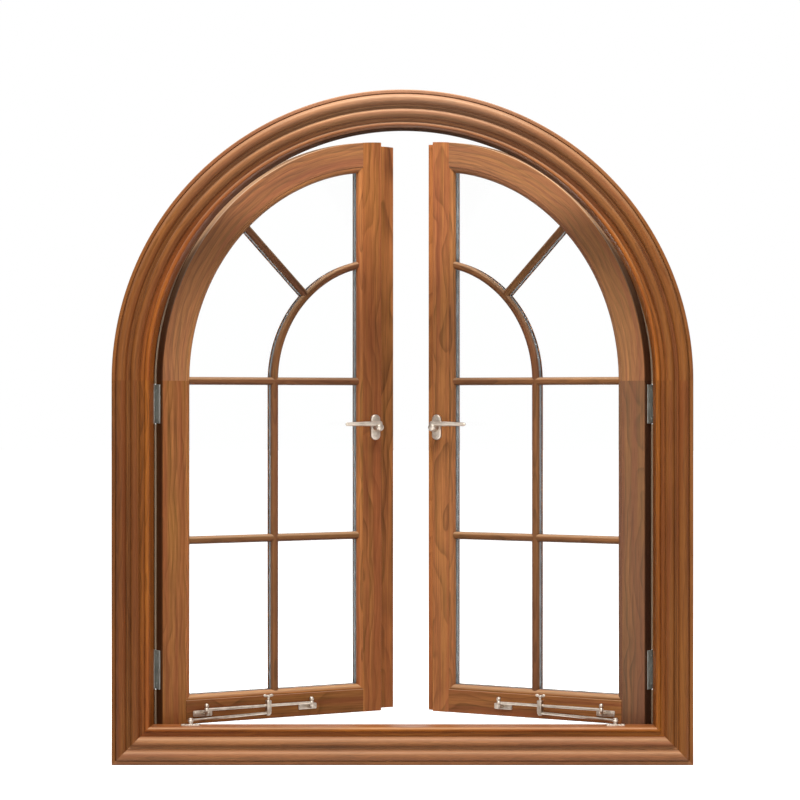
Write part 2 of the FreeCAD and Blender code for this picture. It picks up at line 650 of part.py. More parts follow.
def opened(shape, angle):
    """Swing a closed left-hand shape out about its hinge axis."""
    swung = shape.copy()
    swung.rotate(Vector(-HINGE_X, HINGE_Y, 0), UP, angle)
    return swung


def clamp_distance(angle):
    """Hinge axis to the clamp along the sash, where the arm just reaches from the sill pivot."""
    turn = math.radians(angle)
    dx = HINGE_X - HALF_WIDTH + SILL_PIVOT_INSET
    dy = SILL_PIVOT_DEPTH - HINGE_Y
    along = dx * math.cos(turn) + dy * math.sin(turn)
    behind = dy * math.cos(turn) - dx * math.sin(turn)
    return along + math.sqrt(ARM_LENGTH ** 2 - (ROD_Y - HINGE_Y - behind) ** 2)


def stay_clamp(angle):
    """Block that slides on the rod, with a wing screw above and the arm's pivot below."""
    x = from_hinge(clamp_distance(angle))
    top = ROD_Z + CLAMP_RISE
    bottom = ROD_Z - CLAMP_FALL
    block = box(x - CLAMP_WIDTH / 2, x + CLAMP_WIDTH / 2, ROD_Y - CLAMP_DEPTH / 2, ROD_Y + CLAMP_DEPTH / 2,
                bottom, top)
    bore = Part.makeCylinder(ROD_RADIUS + ROD_CLEARANCE, 2 * CLAMP_WIDTH,
                             Vector(x - CLAMP_WIDTH, ROD_Y, ROD_Z), ACROSS)
    stem = Part.makeCylinder(WING_STEM_RADIUS, WING_STEM_LENGTH, Vector(x, ROD_Y, top))
    wing_base = top + WING_STEM_LENGTH
    wing = section(lambda s, h: Vector(x + s * WING_LENGTH / 2, ROD_Y - WING_THICK / 2,
                                       wing_base + h * WING_HEIGHT), *WING_OUTLINE)
    wing = wing.extrude(OUT * WING_THICK)
    fall = EYE_THICK + 2 * EYE_GAP
    pin = Part.makeCylinder(PIVOT_RADIUS, fall, Vector(x, ROD_Y, bottom), -UP)
    head = Part.makeCylinder(PIVOT_HEAD_RADIUS, PIVOT_HEAD_THICK, Vector(x, ROD_Y, bottom - fall), -UP)
    return joined(block.cut(bore), stem, wing, pin, head)


def sill_pivot():
    return Vector(SILL_PIVOT_INSET - HALF_WIDTH, SILL_PIVOT_DEPTH, ARM_Z)


def stay_arm(angle):
    """Rod with a flat eye at each end, from the sill pivot to the clamp of an open left sash."""
    near = sill_pivot()
    clamp = Part.Vertex(Vector(from_hinge(clamp_distance(angle)), ROD_Y, ARM_Z))
    far = opened(clamp, angle).Point
    eyes = [Part.makeCylinder(EYE_RADIUS, EYE_THICK, end - UP * (EYE_THICK / 2)) for end in (near, far)]
    bores = [Part.makeCylinder(PIVOT_RADIUS + PIVOT_CLEARANCE, 2 * EYE_THICK, end - UP * EYE_THICK)
             for end in (near, far)]
    rod = Part.makeCylinder(ARM_RADIUS, ARM_LENGTH, near, far - near)
    arm = joined(rod, *eyes)
    for bore in bores:
        arm = arm.cut(bore)
    return arm


def stay_sill_bracket():
    """Screwed plate on the sill, with a short post and the arm's pivot pin."""
    pivot = sill_pivot()
    foot = Vector(pivot.x, pivot.y, SILL_TOP)
    plate_top = SILL_TOP + SILL_PLATE_THICK
    half = SILL_PLATE_LENGTH / 2
    deep = SILL_PLATE_WIDTH / 2
    plate = box(pivot.x - half, pivot.x + half, pivot.y - deep, pivot.y + deep, SILL_TOP, plate_top)
    eye_base = ARM_Z - EYE_THICK / 2 - EYE_GAP
    eye_top = ARM_Z + EYE_THICK / 2 + EYE_GAP
    post = Part.makeCylinder(SILL_POST_RADIUS, max(eye_base, plate_top) - SILL_TOP, foot)
    pin = Part.makeCylinder(PIVOT_RADIUS, eye_top - SILL_TOP, foot)
    head = Part.makeCylinder(PIVOT_HEAD_RADIUS, PIVOT_HEAD_THICK, Vector(pivot.x, pivot.y, eye_top))
    screws = [screw_head(Vector(pivot.x + along, pivot.y, plate_top), UP)
              for along in (-SILL_SCREWS, SILL_SCREWS)]
    return joined(plate, post, pin, head, *screws)


def save(name, shape):
    shape.exportStep("parts/" + name + ".step")


def build_surround():
    """Casing, inner frame and its seal."""
    casing = mitred_surround(casing_profile(), casing_profile())
    for place, solid in zip(("left_jamb", "right_jamb", "arch", "bottom"), casing):
        save("casing_" + place, solid)
    frame = mitred_surround(frame_profile(STOP_AT), frame_profile(ARRIS_AT))
    for place, solid in zip(("left_jamb", "right_jamb", "arch", "sill"), frame):
        save("frame_" + place, solid)
    save("frame_gasket", Part.makeCompound(mitred_surround(seal_profile(), seal_profile())))


def build_sash(side, angle, meeting_stile, finish):
    """All that hangs on one side, made as a closed left sash, swung open and then handed."""
    stile, head, rail = sash_members()
    rod = stay_rod()
    swinging = {
        "hinge_stile": stile,
        "arched_rail": head,
        "bottom_rail": rail,
        "meeting_stile": meeting_stile,
        "inner_bars": inner_bars([stile, head, rail, meeting_stile]),
        "outer_beads": outer_beads(),
        "glass": glass_panes(),
        "spacer": spacer(),
        "hinge_sash_leaves": hinge_sash_leaves(),
        "handle_plate": handle_plate(),
        "handle_lever": handle_lever(),
        "stay_rod": rod,
        "stay_brackets": stay_brackets(rod),
        "stay_clamp": stay_clamp(angle),
    }
    placed = {name: opened(shape, angle) for name, shape in swinging.items()}
    placed["hinge_frame_leaves"] = hinge_frame_leaves()
    placed["stay_arm"] = stay_arm(angle)
    placed["stay_sill_bracket"] = stay_sill_bracket()
    for name, shape in placed.items():
        save(side + "_" + name, finish(shape))


def main():
    os.makedirs("parts", exist_ok=True)
    build_surround()
    build_sash("left", LEFT_OPEN_ANGLE, left_meeting_stile(), Part.Shape.copy)
    build_sash("right", RIGHT_OPEN_ANGLE, right_meeting_stile(), mirrored)
    save("left_meeting_gasket", opened(left_meeting_seal(), LEFT_OPEN_ANGLE))
    save("right_meeting_strip", mirrored(opened(right_meeting_strip(), RIGHT_OPEN_ANGLE)))


main()
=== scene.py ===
"""Looks of an arched window with two open casement sashes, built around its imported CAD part.

Sizes are in millimetres, as in the part's source, and become metres when a mesh is made.
+X is right as seen from indoors, +Y is outdoors, +Z is up, and Y = 0 is the wall plane.
"""

import logging
import math
from dataclasses import dataclass, field, replace
from enum import Enum
from functools import reduce
from typing import Callable, Optional, Sequence, Union

import bmesh
import bpy
import numpy as np
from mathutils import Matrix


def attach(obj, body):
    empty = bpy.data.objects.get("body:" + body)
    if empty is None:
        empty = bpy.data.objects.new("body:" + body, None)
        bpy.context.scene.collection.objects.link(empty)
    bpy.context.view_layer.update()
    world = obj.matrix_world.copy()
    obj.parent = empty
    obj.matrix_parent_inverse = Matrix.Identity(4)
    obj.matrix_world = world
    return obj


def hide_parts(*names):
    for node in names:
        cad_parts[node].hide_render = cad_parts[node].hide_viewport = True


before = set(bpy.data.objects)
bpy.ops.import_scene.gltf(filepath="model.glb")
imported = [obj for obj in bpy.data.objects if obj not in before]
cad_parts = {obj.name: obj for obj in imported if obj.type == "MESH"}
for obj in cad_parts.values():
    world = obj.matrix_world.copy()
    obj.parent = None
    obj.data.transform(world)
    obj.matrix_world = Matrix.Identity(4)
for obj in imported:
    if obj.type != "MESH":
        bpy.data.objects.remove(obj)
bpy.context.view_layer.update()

LOG = logging.getLogger("arched_window")
MM = 0.001
BODY = "root"
SHARP_ANGLE = math.radians(38)

Limit = Union[float, np.ndarray]
Colour = tuple[float, float, float]
Tone = tuple[float, float]
Profile = Sequence[tuple[float, float]]
Stops = Sequence[tuple[float, float]]
Socket = bpy.types.NodeSocket
Value = Union[bpy.types.NodeSocket, float]
Setting = Union[bpy.types.NodeSocket, float, Sequence[float]]

PLAIN: Tone = (0.0, 0.0)
ACROSS = (1.0, 0.0, 0.0)
OUTDOORS = (0.0, 1.0, 0.0)
INDOORS = (0.0, -1.0, 0.0)
UP = (0.0, 0.0, 1.0)
DOWN = (0.0, 0.0, -1.0)


class Side(Enum):
    """Which sash a piece belongs to, as seen from indoors."""

    LEFT = "left"
    RIGHT = "right"


class Slot(Enum):
    """Material slots of the record."""

    CASING = "casing_wood"
    FRAME = "frame_wood"
    SASH = "sash_wood"
    GLASS = "clear_glass"
    SPACER = "spacer_grey"
    SEAL = "seal_rubber"
    HINGE = "hinge_steel"
    NICKEL = "satin_nickel"


@dataclass(frozen=True)
class WindowSizes:
    """Main sizes and places that several assemblies share."""

    half_width: float = 750.0
    spring_height: float = 992.0
    casing_land: float = 46.0
    rebate_at: float = 88.0
    stop_depth: float = 60.0
    frame_depth: float = 108.0
    sash_front: float = 61.0
    sash_thick: float = 45.0
    sash_gap: float = 6.0
    sash_bottom_gap: float = 1.5
    arris_at: float = 96.0
    hinge_y: float = 115.0
    hinge_length: float = 102.0
    hinge_low: float = 234.0
    hinge_below_spring: float = 61.0

    @property
    def bottom(self) -> float:
        """Height of the casing's lower edge."""
        return -self.casing_land / 2

    @property
    def spring(self) -> float:
        """Height of the centre of the round head."""
        return self.bottom + self.spring_height

    @property
    def sash_back(self) -> float:
        """Outdoor face of a closed sash."""
        return self.sash_front + self.sash_thick

    @property
    def sash_radius(self) -> float:
        """Outer radius of the sashes' round head."""
        return self.half_width - self.rebate_at - self.sash_gap

    @property
    def sash_base(self) -> float:
        """Lower edge of the sashes."""
        return self.bottom + self.rebate_at + self.sash_bottom_gap

    @property
    def sill_top(self) -> float:
        """Height of the level sill."""
        return self.bottom + self.arris_at

    @property
    def hinge_x(self) -> float:
        """Distance of each hinge axis from the middle of the window."""
        return self.sash_radius + self.sash_gap / 2

    @property
    def hinge_middles(self) -> tuple[float, float]:
        """Heights of the two hinges on each side."""
        return (self.bottom + self.hinge_low, self.spring - self.hinge_below_spring)


SIZES = WindowSizes()


def arc(start: Sequence[float], middle: Sequence[float], end: Sequence[float],
        count: int = 9) -> np.ndarray:
    """Points of the circular arc through three points, both ends included.

    The centre solves |c - p|^2 = r^2 for the three points; the angle then runs evenly from the
    first point to the last, by way of the middle one.

    Args:
        start, middle, end: Points of the plane.
        count: Number of points.

    Returns:
        Array of shape (count, 2).
    """
    points = np.array((start, middle, end), float)
    centre = np.linalg.solve(2 * (points[1:] - points[0]),
                             (points[1:] ** 2).sum(1) - (points[0] ** 2).sum())
    angles = np.unwrap(np.arctan2(*(points - centre).T[::-1]))
    turn = np.linspace(angles[0], angles[2], count)
    radius = np.linalg.norm(points[0] - centre)
    return centre + radius * np.stack((np.cos(turn), np.sin(turn)), axis=1)


@dataclass(frozen=True)
class Section:
    """Closed outline of a member, with its arrises eased and its hollows known.

    Attributes:
        inset: Distance of each point from the member's outer edge.
        depth: Y of each point.
        relief: Above 0 on an arris and below 0 in a hollow, from -1 to 1, and SHELTERED where deep
            shade is painted; the wood paints hollows darker as shade and arrises lighter, partly
            as wear and partly as painted highlight.
    """

    inset: np.ndarray
    depth: np.ndarray
    relief: np.ndarray

    EASED_TURN = math.radians(24)
    EASED_POINTS = 5
    EASED_SHARE = 0.45
    SAME_POINT = 1e-6
    SUPPORT = 0.35
    SPREAD = 1.3
    SUNK = 1.3
    SHELTERED = -2.0

    @classmethod
    def drawn(cls, *runs: Sequence, ease: float = 1.0, step: float = 5.0) -> "Section":
        """Makes a section from points and arcs in order.

        Args:
            runs: Points (x, y) and arrays of points.
            ease: Radius that each sharp corner is eased to.
            step: Longest distance between neighbouring points.

        Returns:
            The finished section.
        """
        points = np.vstack([np.atleast_2d(np.array(run, float)) for run in runs])
        keep = np.linalg.norm(points - np.roll(points, 1, axis=0), axis=1) > cls.SAME_POINT
        points = cls._refined(cls._eased(points[keep], ease), step)
        return cls(points[:, 0], points[:, 1], cls._relief(points))

    def with_painted_shade(self, inset: float, depth: float, spread: float = 1.6) -> "Section":
        """The same section with painted shade about one point: relief - SUNK exp(-d^2 / 2 spread^2).

        Args:
            inset, depth: Middle of the painted shade.
            spread: How far it spreads.

        Returns:
            The shaded section.
        """
        apart = (self.inset - inset) ** 2 + (self.depth - depth) ** 2
        sunk = self.relief - self.SUNK * np.exp(-0.5 * apart / spread ** 2)
        return replace(self, relief=np.clip(sunk, -1, 1))

    def sheltered(self, low: float, high: float, beyond: float) -> "Section":
        """The same section with deep shade painted, dark and dull, where low <= inset <= high and depth >
        beyond.
        """
        hidden = (self.inset >= low) & (self.inset <= high) & (self.depth > beyond)
        return replace(self, relief=np.where(hidden, self.SHELTERED, self.relief))

    @classmethod
    def _eased(cls, points: np.ndarray, ease: float) -> np.ndarray:
        """Swaps each sharp corner B for the curve (1-t)^2 A + 2t(1-t) B + t^2 C between its sides.

        Args:
            points: Corners of the outline, of shape (n, 2).
            ease: Radius that each sharp corner is eased to.

        Returns:
            Points of the eased outline.
        """
        before = np.roll(points, 1, axis=0) - points
        after = np.roll(points, -1, axis=0) - points
        long_before = np.linalg.norm(before, axis=1)
        long_after = np.linalg.norm(after, axis=1)
        before /= long_before[:, None]
        after /= long_after[:, None]
        turn = np.pi - np.arccos(np.clip((before * after).sum(1), -1, 1))
        sharp = turn > cls.EASED_TURN
        longest = cls.EASED_SHARE * np.minimum(long_before, long_after)
        cut = np.where(sharp, np.minimum(ease, longest), 0)[:, None]
        count = np.where(sharp, cls.EASED_POINTS, 1)
        which = np.repeat(np.arange(len(points)), count)
        place = np.arange(len(which)) - np.repeat(np.cumsum(count) - count, count)
        t = (place / (cls.EASED_POINTS - 1))[:, None]
        corner = points[which]
        first = corner + (cut * before)[which]
        last = corner + (cut * after)[which]
        return (1 - t) ** 2 * first + 2 * t * (1 - t) * corner + t ** 2 * last

    @classmethod
    def _refined(cls, points: np.ndarray, step: float) -> np.ndarray:
        """Adds points to long straight runs, close to their ends and then evenly between.

        Args:
            points: Points of the outline.
            step: Longest distance between neighbouring points.

        Returns:
            The same outline with more points.
        """
        ends = np.roll(points, -1, axis=0)
        lengths = np.linalg.norm(ends - points, axis=1)
        shares = [np.concatenate(([0.0], np.linspace(cls.SUPPORT, size - cls.SUPPORT,
                                                     max(2, math.ceil(size / step))) / size))
                  if size > 4 * cls.SUPPORT else np.zeros(1) for size in lengths]
        which = np.repeat(np.arange(len(points)), [len(share) for share in shares])
        along = np.concatenate(shares)[:, None]
        return points[which] + along * (ends - points)[which]

    @classmethod
    def _relief(cls, points: np.ndarray) -> np.ndarray:
        """Turning angle of the outline, spread along it by a bell curve of width SPREAD.

        Args:
            points: Points of the outline.

        Returns:
            Relief of each point, from -1 to 1.
        """
        ahead = np.roll(points, -1, axis=0) - points
        heading = np.arctan2(ahead[:, 1], ahead[:, 0])
        turn = heading - np.roll(heading, 1)
        turn = (turn + np.pi) % (2 * np.pi) - np.pi
        run = np.concatenate(([0.0], np.cumsum(np.linalg.norm(ahead, axis=1))))
        apart = np.abs(run[:-1, None] - run[None, :-1])
        apart = np.minimum(apart, run[-1] - apart)
        near = np.exp(-0.5 * (apart / cls.SPREAD) ** 2)
        return np.clip(np.sign(turn.sum()) * near @ turn, -1, 1)


@dataclass(frozen=True)
class StraightRun:
    """Line in the window's plane: point = start + along * forward + inset * inward."""

    start: tuple[float, float]
    forward: tuple[float, float]
    inward: tuple[float, float]
    stations: int = 2

    def place(self, inset: np.ndarray, depth: np.ndarray, along: np.ndarray) -> np.ndarray:
        """Points for arrays of inset, depth and distance along the line.

        Args:
            inset, depth, along: Arrays of one shape.

        Returns:
            Array of that shape, with x, y and z last.
        """
        x = self.start[0] + along * self.forward[0] + inset * self.inward[0]
        z = self.start[1] + along * self.forward[1] + inset * self.inward[1]
        return np.stack((x, depth, z), axis=-1)


@dataclass(frozen=True)
class ArchedRun:
    """Circle about the springing point, from its left end over the top.

    With a = along / radius: x = -(radius - inset) cos a and z = spring + (radius - inset) sin a.
    """

    radius: float
    stations: int = 121

    def place(self, inset: np.ndarray, depth: np.ndarray, along: np.ndarray) -> np.ndarray:
        """Points for arrays of inset, depth and distance along the outer edge.

        Args:
            inset, depth, along: Arrays of one shape.

        Returns:
            Array of that shape, with x, y and z last.
        """
        turn = along / self.radius
        reach = self.radius - inset
        return np.stack((-reach * np.cos(turn), depth, SIZES.spring + reach * np.sin(turn)), axis=-1)

    def along_to(self, left: np.ndarray, inset: np.ndarray) -> np.ndarray:
        """Distance along the outer edge at which X = -left, for each inset."""
        return self.radius * np.arccos(left / (self.radius - inset))


def upright_run(x: float, inward: float = 1.0) -> StraightRun:
    """Run up an edge at X = x; inset grows to the right, or to the left for inward = -1."""
    return StraightRun((x, 0.0), (0.0, 1.0), (inward, 0.0))


def level_run(z: float) -> StraightRun:
    """Run to the right along an edge at Z = z; inset grows upwards."""
    return StraightRun((0.0, z), (1.0, 0.0), (0.0, 1.0))


@dataclass
class Shell:
    """One closed skin: a grid of rings, closed round each ring and capped at both ends.

    Attributes:
        points: Grid of shape (rings, round, 3).
        grain: The same points in the board's own frame, with the length last.
        relief: Arris or hollow, of shape (rings, round).
        tone: How much lighter (above 0) or darker (below 0) the board is drawn, and how faded, from 0 to 1;
            on some members this is painted light or shade.
    """

    points: np.ndarray
    grain: Optional[np.ndarray] = None
    relief: Optional[np.ndarray] = None
    tone: Tone = PLAIN

    def moved(self, change: Callable[[np.ndarray], np.ndarray]) -> "Shell":
        """The same shell with its points changed and its grain and tone kept."""
        return replace(self, points=change(self.points))

    def toned(self, tone: Tone) -> "Shell":
        """The same shell with its tone shifted."""
        return replace(self, tone=(self.tone[0] + tone[0], self.tone[1] + tone[1]))

    def faces(self, first: int) -> list[list[int]]:
        """Quads of the grid and the two end faces.

        Args:
            first: Number of the shell's first vertex.

        Returns:
            Vertex numbers of each face.
        """
        rings, around = self.points.shape[:2]
        index = first + np.arange(rings * around).reshape(rings, around)
        after = np.roll(index, -1, axis=1)
        quads = np.stack((index[:-1], after[:-1], after[1:], index[1:]), axis=-1).reshape(-1, 4)
        return quads.tolist() + [index[0, ::-1].tolist(), index[-1].tolist()]


class Lumber:
    """Deals out boards: each one starts at its own place in the timber and has its own tone."""

    LOWEST = (-0.05, 0.0, 0.0)
    HIGHEST = (0.05, 0.05, 30.0)
    TONE_SPREAD = 0.05

    def __init__(self, seed: int) -> None:
        """Starts the row of draws from a fixed seed."""
        self.draws = np.random.default_rng(seed)

    def start(self) -> np.ndarray:
        """Place of a new board in the timber, in metres."""
        return self.draws.uniform(self.LOWEST, self.HIGHEST)

    def tone(self) -> Tone:
        """Tone of a new board."""
        return (float(self.draws.uniform(-self.TONE_SPREAD, self.TONE_SPREAD)), 0.0)


LUMBER = Lumber(seed=41)


def carried(section: Section, run: Union[StraightRun, ArchedRun], low: Limit, high: Limit) -> Shell:
    """Carries a section along a run: along = low + (high - low) t at every point of the outline.

    Args:
        section: Outline of the member.
        run: Straight or arched run.
        low, high: Ends of the run, one number or one for each point, which cuts a mitre.

    Returns:
        The closed shell.
    """
    t = np.linspace(0, 1, run.stations)[:, None]
    along = low + (np.broadcast_to(high, section.inset.shape) - low) * t
    inset = np.broadcast_to(section.inset, along.shape)
    depth = np.broadcast_to(section.depth, along.shape)
    grain = np.stack((inset, depth, along), axis=-1) * MM + LUMBER.start()
    relief = np.broadcast_to(section.relief, along.shape)
    return Shell(run.place(inset, depth, along), grain, relief, LUMBER.tone())


def turned(profile: Profile, foot: Sequence[float], axis: Sequence[float], around: int = 28) -> Shell:
    """Turns a profile of (radius, height) about an axis: p = foot + h axis + r (u cos a + v sin a).

    Args:
        profile: Radii and heights from the foot upwards.
        foot: Point of the axis at height 0.
        axis: Direction of the axis.
        around: Points round the axis.

    Returns:
        The closed shell.
    """
    radius, height = np.array(profile, float).T[:, :, None]
    up = np.array(axis, float) / np.linalg.norm(axis)
    across = np.cross(up, UP if abs(up[2]) < 0.9 else ACROSS)
    across /= np.linalg.norm(across)
    turn = np.linspace(0, 2 * np.pi, around, endpoint=False)
    spoke = np.cos(turn)[:, None] * across + np.sin(turn)[:, None] * np.cross(up, across)
    return Shell(np.array(foot, float) + height[:, :, None] * up + radius[:, :, None] * spoke)


def drawn_out(path: np.ndarray, tall: np.ndarray, deep: np.ndarray, around: int = 28) -> Shell:
    """Draws an ellipse out along a path: p = c + tall/2 cos a n + deep/2 sin a b.

    n is upright (+Z) and b is level, both across the path.

    Args:
        path: Centres, of shape (rings, 3), with no upright stretch.
        tall, deep: Height and depth of the ellipse at each centre.
        around: Points round the ellipse.

    Returns:
        The closed shell.
    """
    ahead = np.gradient(path, axis=0)
    ahead /= np.linalg.norm(ahead, axis=1)[:, None]
    level = np.cross(ahead, UP)
    level /= np.linalg.norm(level, axis=1)[:, None]
    upward = np.cross(level, ahead)
    turn = np.linspace(0, 2 * np.pi, around, endpoint=False)[None, :, None]
    return Shell(path[:, None] + 0.5 * tall[:, None, None] * np.cos(turn) * upward[:, None]
                 + 0.5 * deep[:, None, None] * np.sin(turn) * level[:, None])


def plate(outline: np.ndarray, origin: Sequence[float], across: Sequence[float], up: Sequence[float],
          out: Sequence[float], thick: float, edge: float) -> Shell:
    """Plate with a rounded front edge.

    While q runs to a right angle, the outline is drawn in by e(1 - cos q) and rises by e sin q.

    Args:
        outline: Points (across, up) in order, of shape (n, 2).
        origin: Point of the plate's back that the outline is measured from.
        across, up, out: Directions of the outline's axes and of the plate's front.
        thick: Thickness.
        edge: Radius of the rounded front edge.

    Returns:
        The closed shell.
    """
    along = np.roll(outline, -1, axis=0) - np.roll(outline, 1, axis=0)
    along /= np.linalg.norm(along, axis=1)[:, None]
    area = (outline[:, 0] * np.roll(outline[:, 1], -1) - outline[:, 1] * np.roll(outline[:, 0], -1)).sum()
    inward = np.sign(area) * np.stack((-along[:, 1], along[:, 0]), axis=1)
    q = np.linspace(0, np.pi / 2, 5)
    drawn_in = np.concatenate(([0.0], edge * (1 - np.cos(q))))[:, None, None]
    height = np.concatenate(([0.0], thick - edge + edge * np.sin(q)))[:, None, None]
    flat = outline + drawn_in * inward
    return Shell(np.array(origin, float) + flat[..., :1] * np.array(across, float)
                 + flat[..., 1:] * np.array(up, float) + height * np.array(out, float))


def rounded_outline(wide: float, tall: float, corner: float, count: int = 8) -> np.ndarray:
    """Rectangle about the origin with round corners, anticlockwise, with points on its long sides.

    Args:
        wide, tall: Size of the rectangle.
        corner: Radius of its corners.
        count: Points on each corner.

    Returns:
        Array of shape (n, 2).
    """
    turn = np.linspace(0, np.pi / 2, count)[None] + np.arange(4)[:, None] * np.pi / 2
    centre = np.array(((1, 1), (-1, 1), (-1, -1), (1, -1))) * (wide / 2 - corner, tall / 2 - corner)
    return np.stack((centre[:, :1] + corner * np.cos(turn),
                     centre[:, 1:] + corner * np.sin(turn)), axis=-1).reshape(-1, 2)


def mirrored(points: np.ndarray) -> np.ndarray:
    """Points of the left side on the right side."""
    return points * (-1, 1, 1)


def store(mesh: bpy.types.Mesh, name: str, kind: str, domain: str, values: np.ndarray) -> None:
    """Keeps an array as one of the mesh's attributes.

    Args:
        mesh: Mesh that gets the attribute.
        name: Name of the attribute.
        kind: FLOAT or FLOAT_VECTOR.
        domain: POINT or CORNER.
        values: One number or vector for each point or corner.
    """
    key = "vector" if kind == "FLOAT_VECTOR" else "value"
    flat = np.ascontiguousarray(values, np.float32).reshape(-1)
    mesh.attributes.new(name, kind, domain).data.foreach_set(key, flat)


def make_piece(name: str, shells: Sequence[Shell], material: bpy.types.Material,
               replaced: Sequence[str] = ()) -> bpy.types.Object:
    """Gathers shells into one mesh, hangs it under the body's empty and hides the CAD nodes it stands for.

    Args:
        name: Name of the piece.
        shells: Closed skins in millimetres.
        material: Finish of the piece.
        replaced: CAD nodes that the piece stands for.

    Returns:
        The new object.
    """
    counts = [shell.points[..., 0].size for shell in shells]
    starts = np.cumsum([0] + counts[:-1])
    faces = [face for shell, first in zip(shells, starts) for face in shell.faces(int(first))]
    points = np.concatenate([shell.points.reshape(-1, 3) for shell in shells]) * MM
    mesh = bpy.data.meshes.new(name)
    mesh.from_pydata(points, [], faces)
    solid = bmesh.new()
    solid.from_mesh(mesh)
    bmesh.ops.recalc_face_normals(solid, faces=solid.faces)
    solid.to_mesh(mesh)
    solid.free()
    mesh.shade_smooth()
    mesh.set_sharp_from_angle(angle=SHARP_ANGLE)
    normals = np.empty(len(mesh.loops) * 3, np.float32)
    mesh.corner_normals.foreach_get("vector", normals)
    grain = [shell.points * MM if shell.grain is None else shell.grain for shell in shells]
    relief = [np.zeros(count) if shell.relief is None else shell.relief
              for shell, count in zip(shells, counts)]
    tone = np.repeat([(*shell.tone, 0.0) for shell in shells], counts, axis=0)
    # The wood paints highlight and shade from the upward part of each corner's normal and from the relief.
    store(mesh, "upward", "FLOAT", "CORNER", normals[2::3])
    store(mesh, "grain", "FLOAT_VECTOR", "POINT", np.concatenate([part.reshape(-1) for part in grain]))
    store(mesh, "relief", "FLOAT", "POINT", np.concatenate([part.reshape(-1) for part in relief]))
    store(mesh, "tone", "FLOAT_VECTOR", "POINT", tone)
    mesh.materials.append(material)
    piece = bpy.data.objects.new(name, mesh)
    bpy.context.scene.collection.objects.link(piece)
    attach(piece, BODY)
    if replaced:
        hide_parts(*replaced)
    LOG.info("piece %s: %d shells, %d points", name, len(shells), len(points))
    return piece


def dress(node: str, material: bpy.types.Material) -> None:
    """Gives a CAD node that is shown as it is its finish.

    Args:
        node: Name of the node.
        material: Finish that it gets.
    """
    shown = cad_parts[node]
    for slot in shown.material_slots:
        slot.link = "OBJECT"
        slot.material = material
    LOG.info("dressed %s with %s", node, material.name)


def srgb(code: str) -> Colour:
    """Linear colour from a six-digit colour code.

    Args:
        code: Red, green and blue as two hexadecimal digits each.

    Returns:
        Red, green and blue from 0 to 1.
    """
    parts = np.array([int(code[i:i + 2], 16) for i in (0, 2, 4)]) / 255
    linear = np.where(parts <= 0.04045, parts / 12.92, ((parts + 0.055) / 1.055) ** 2.4)
    return tuple(float(part) for part in linear)


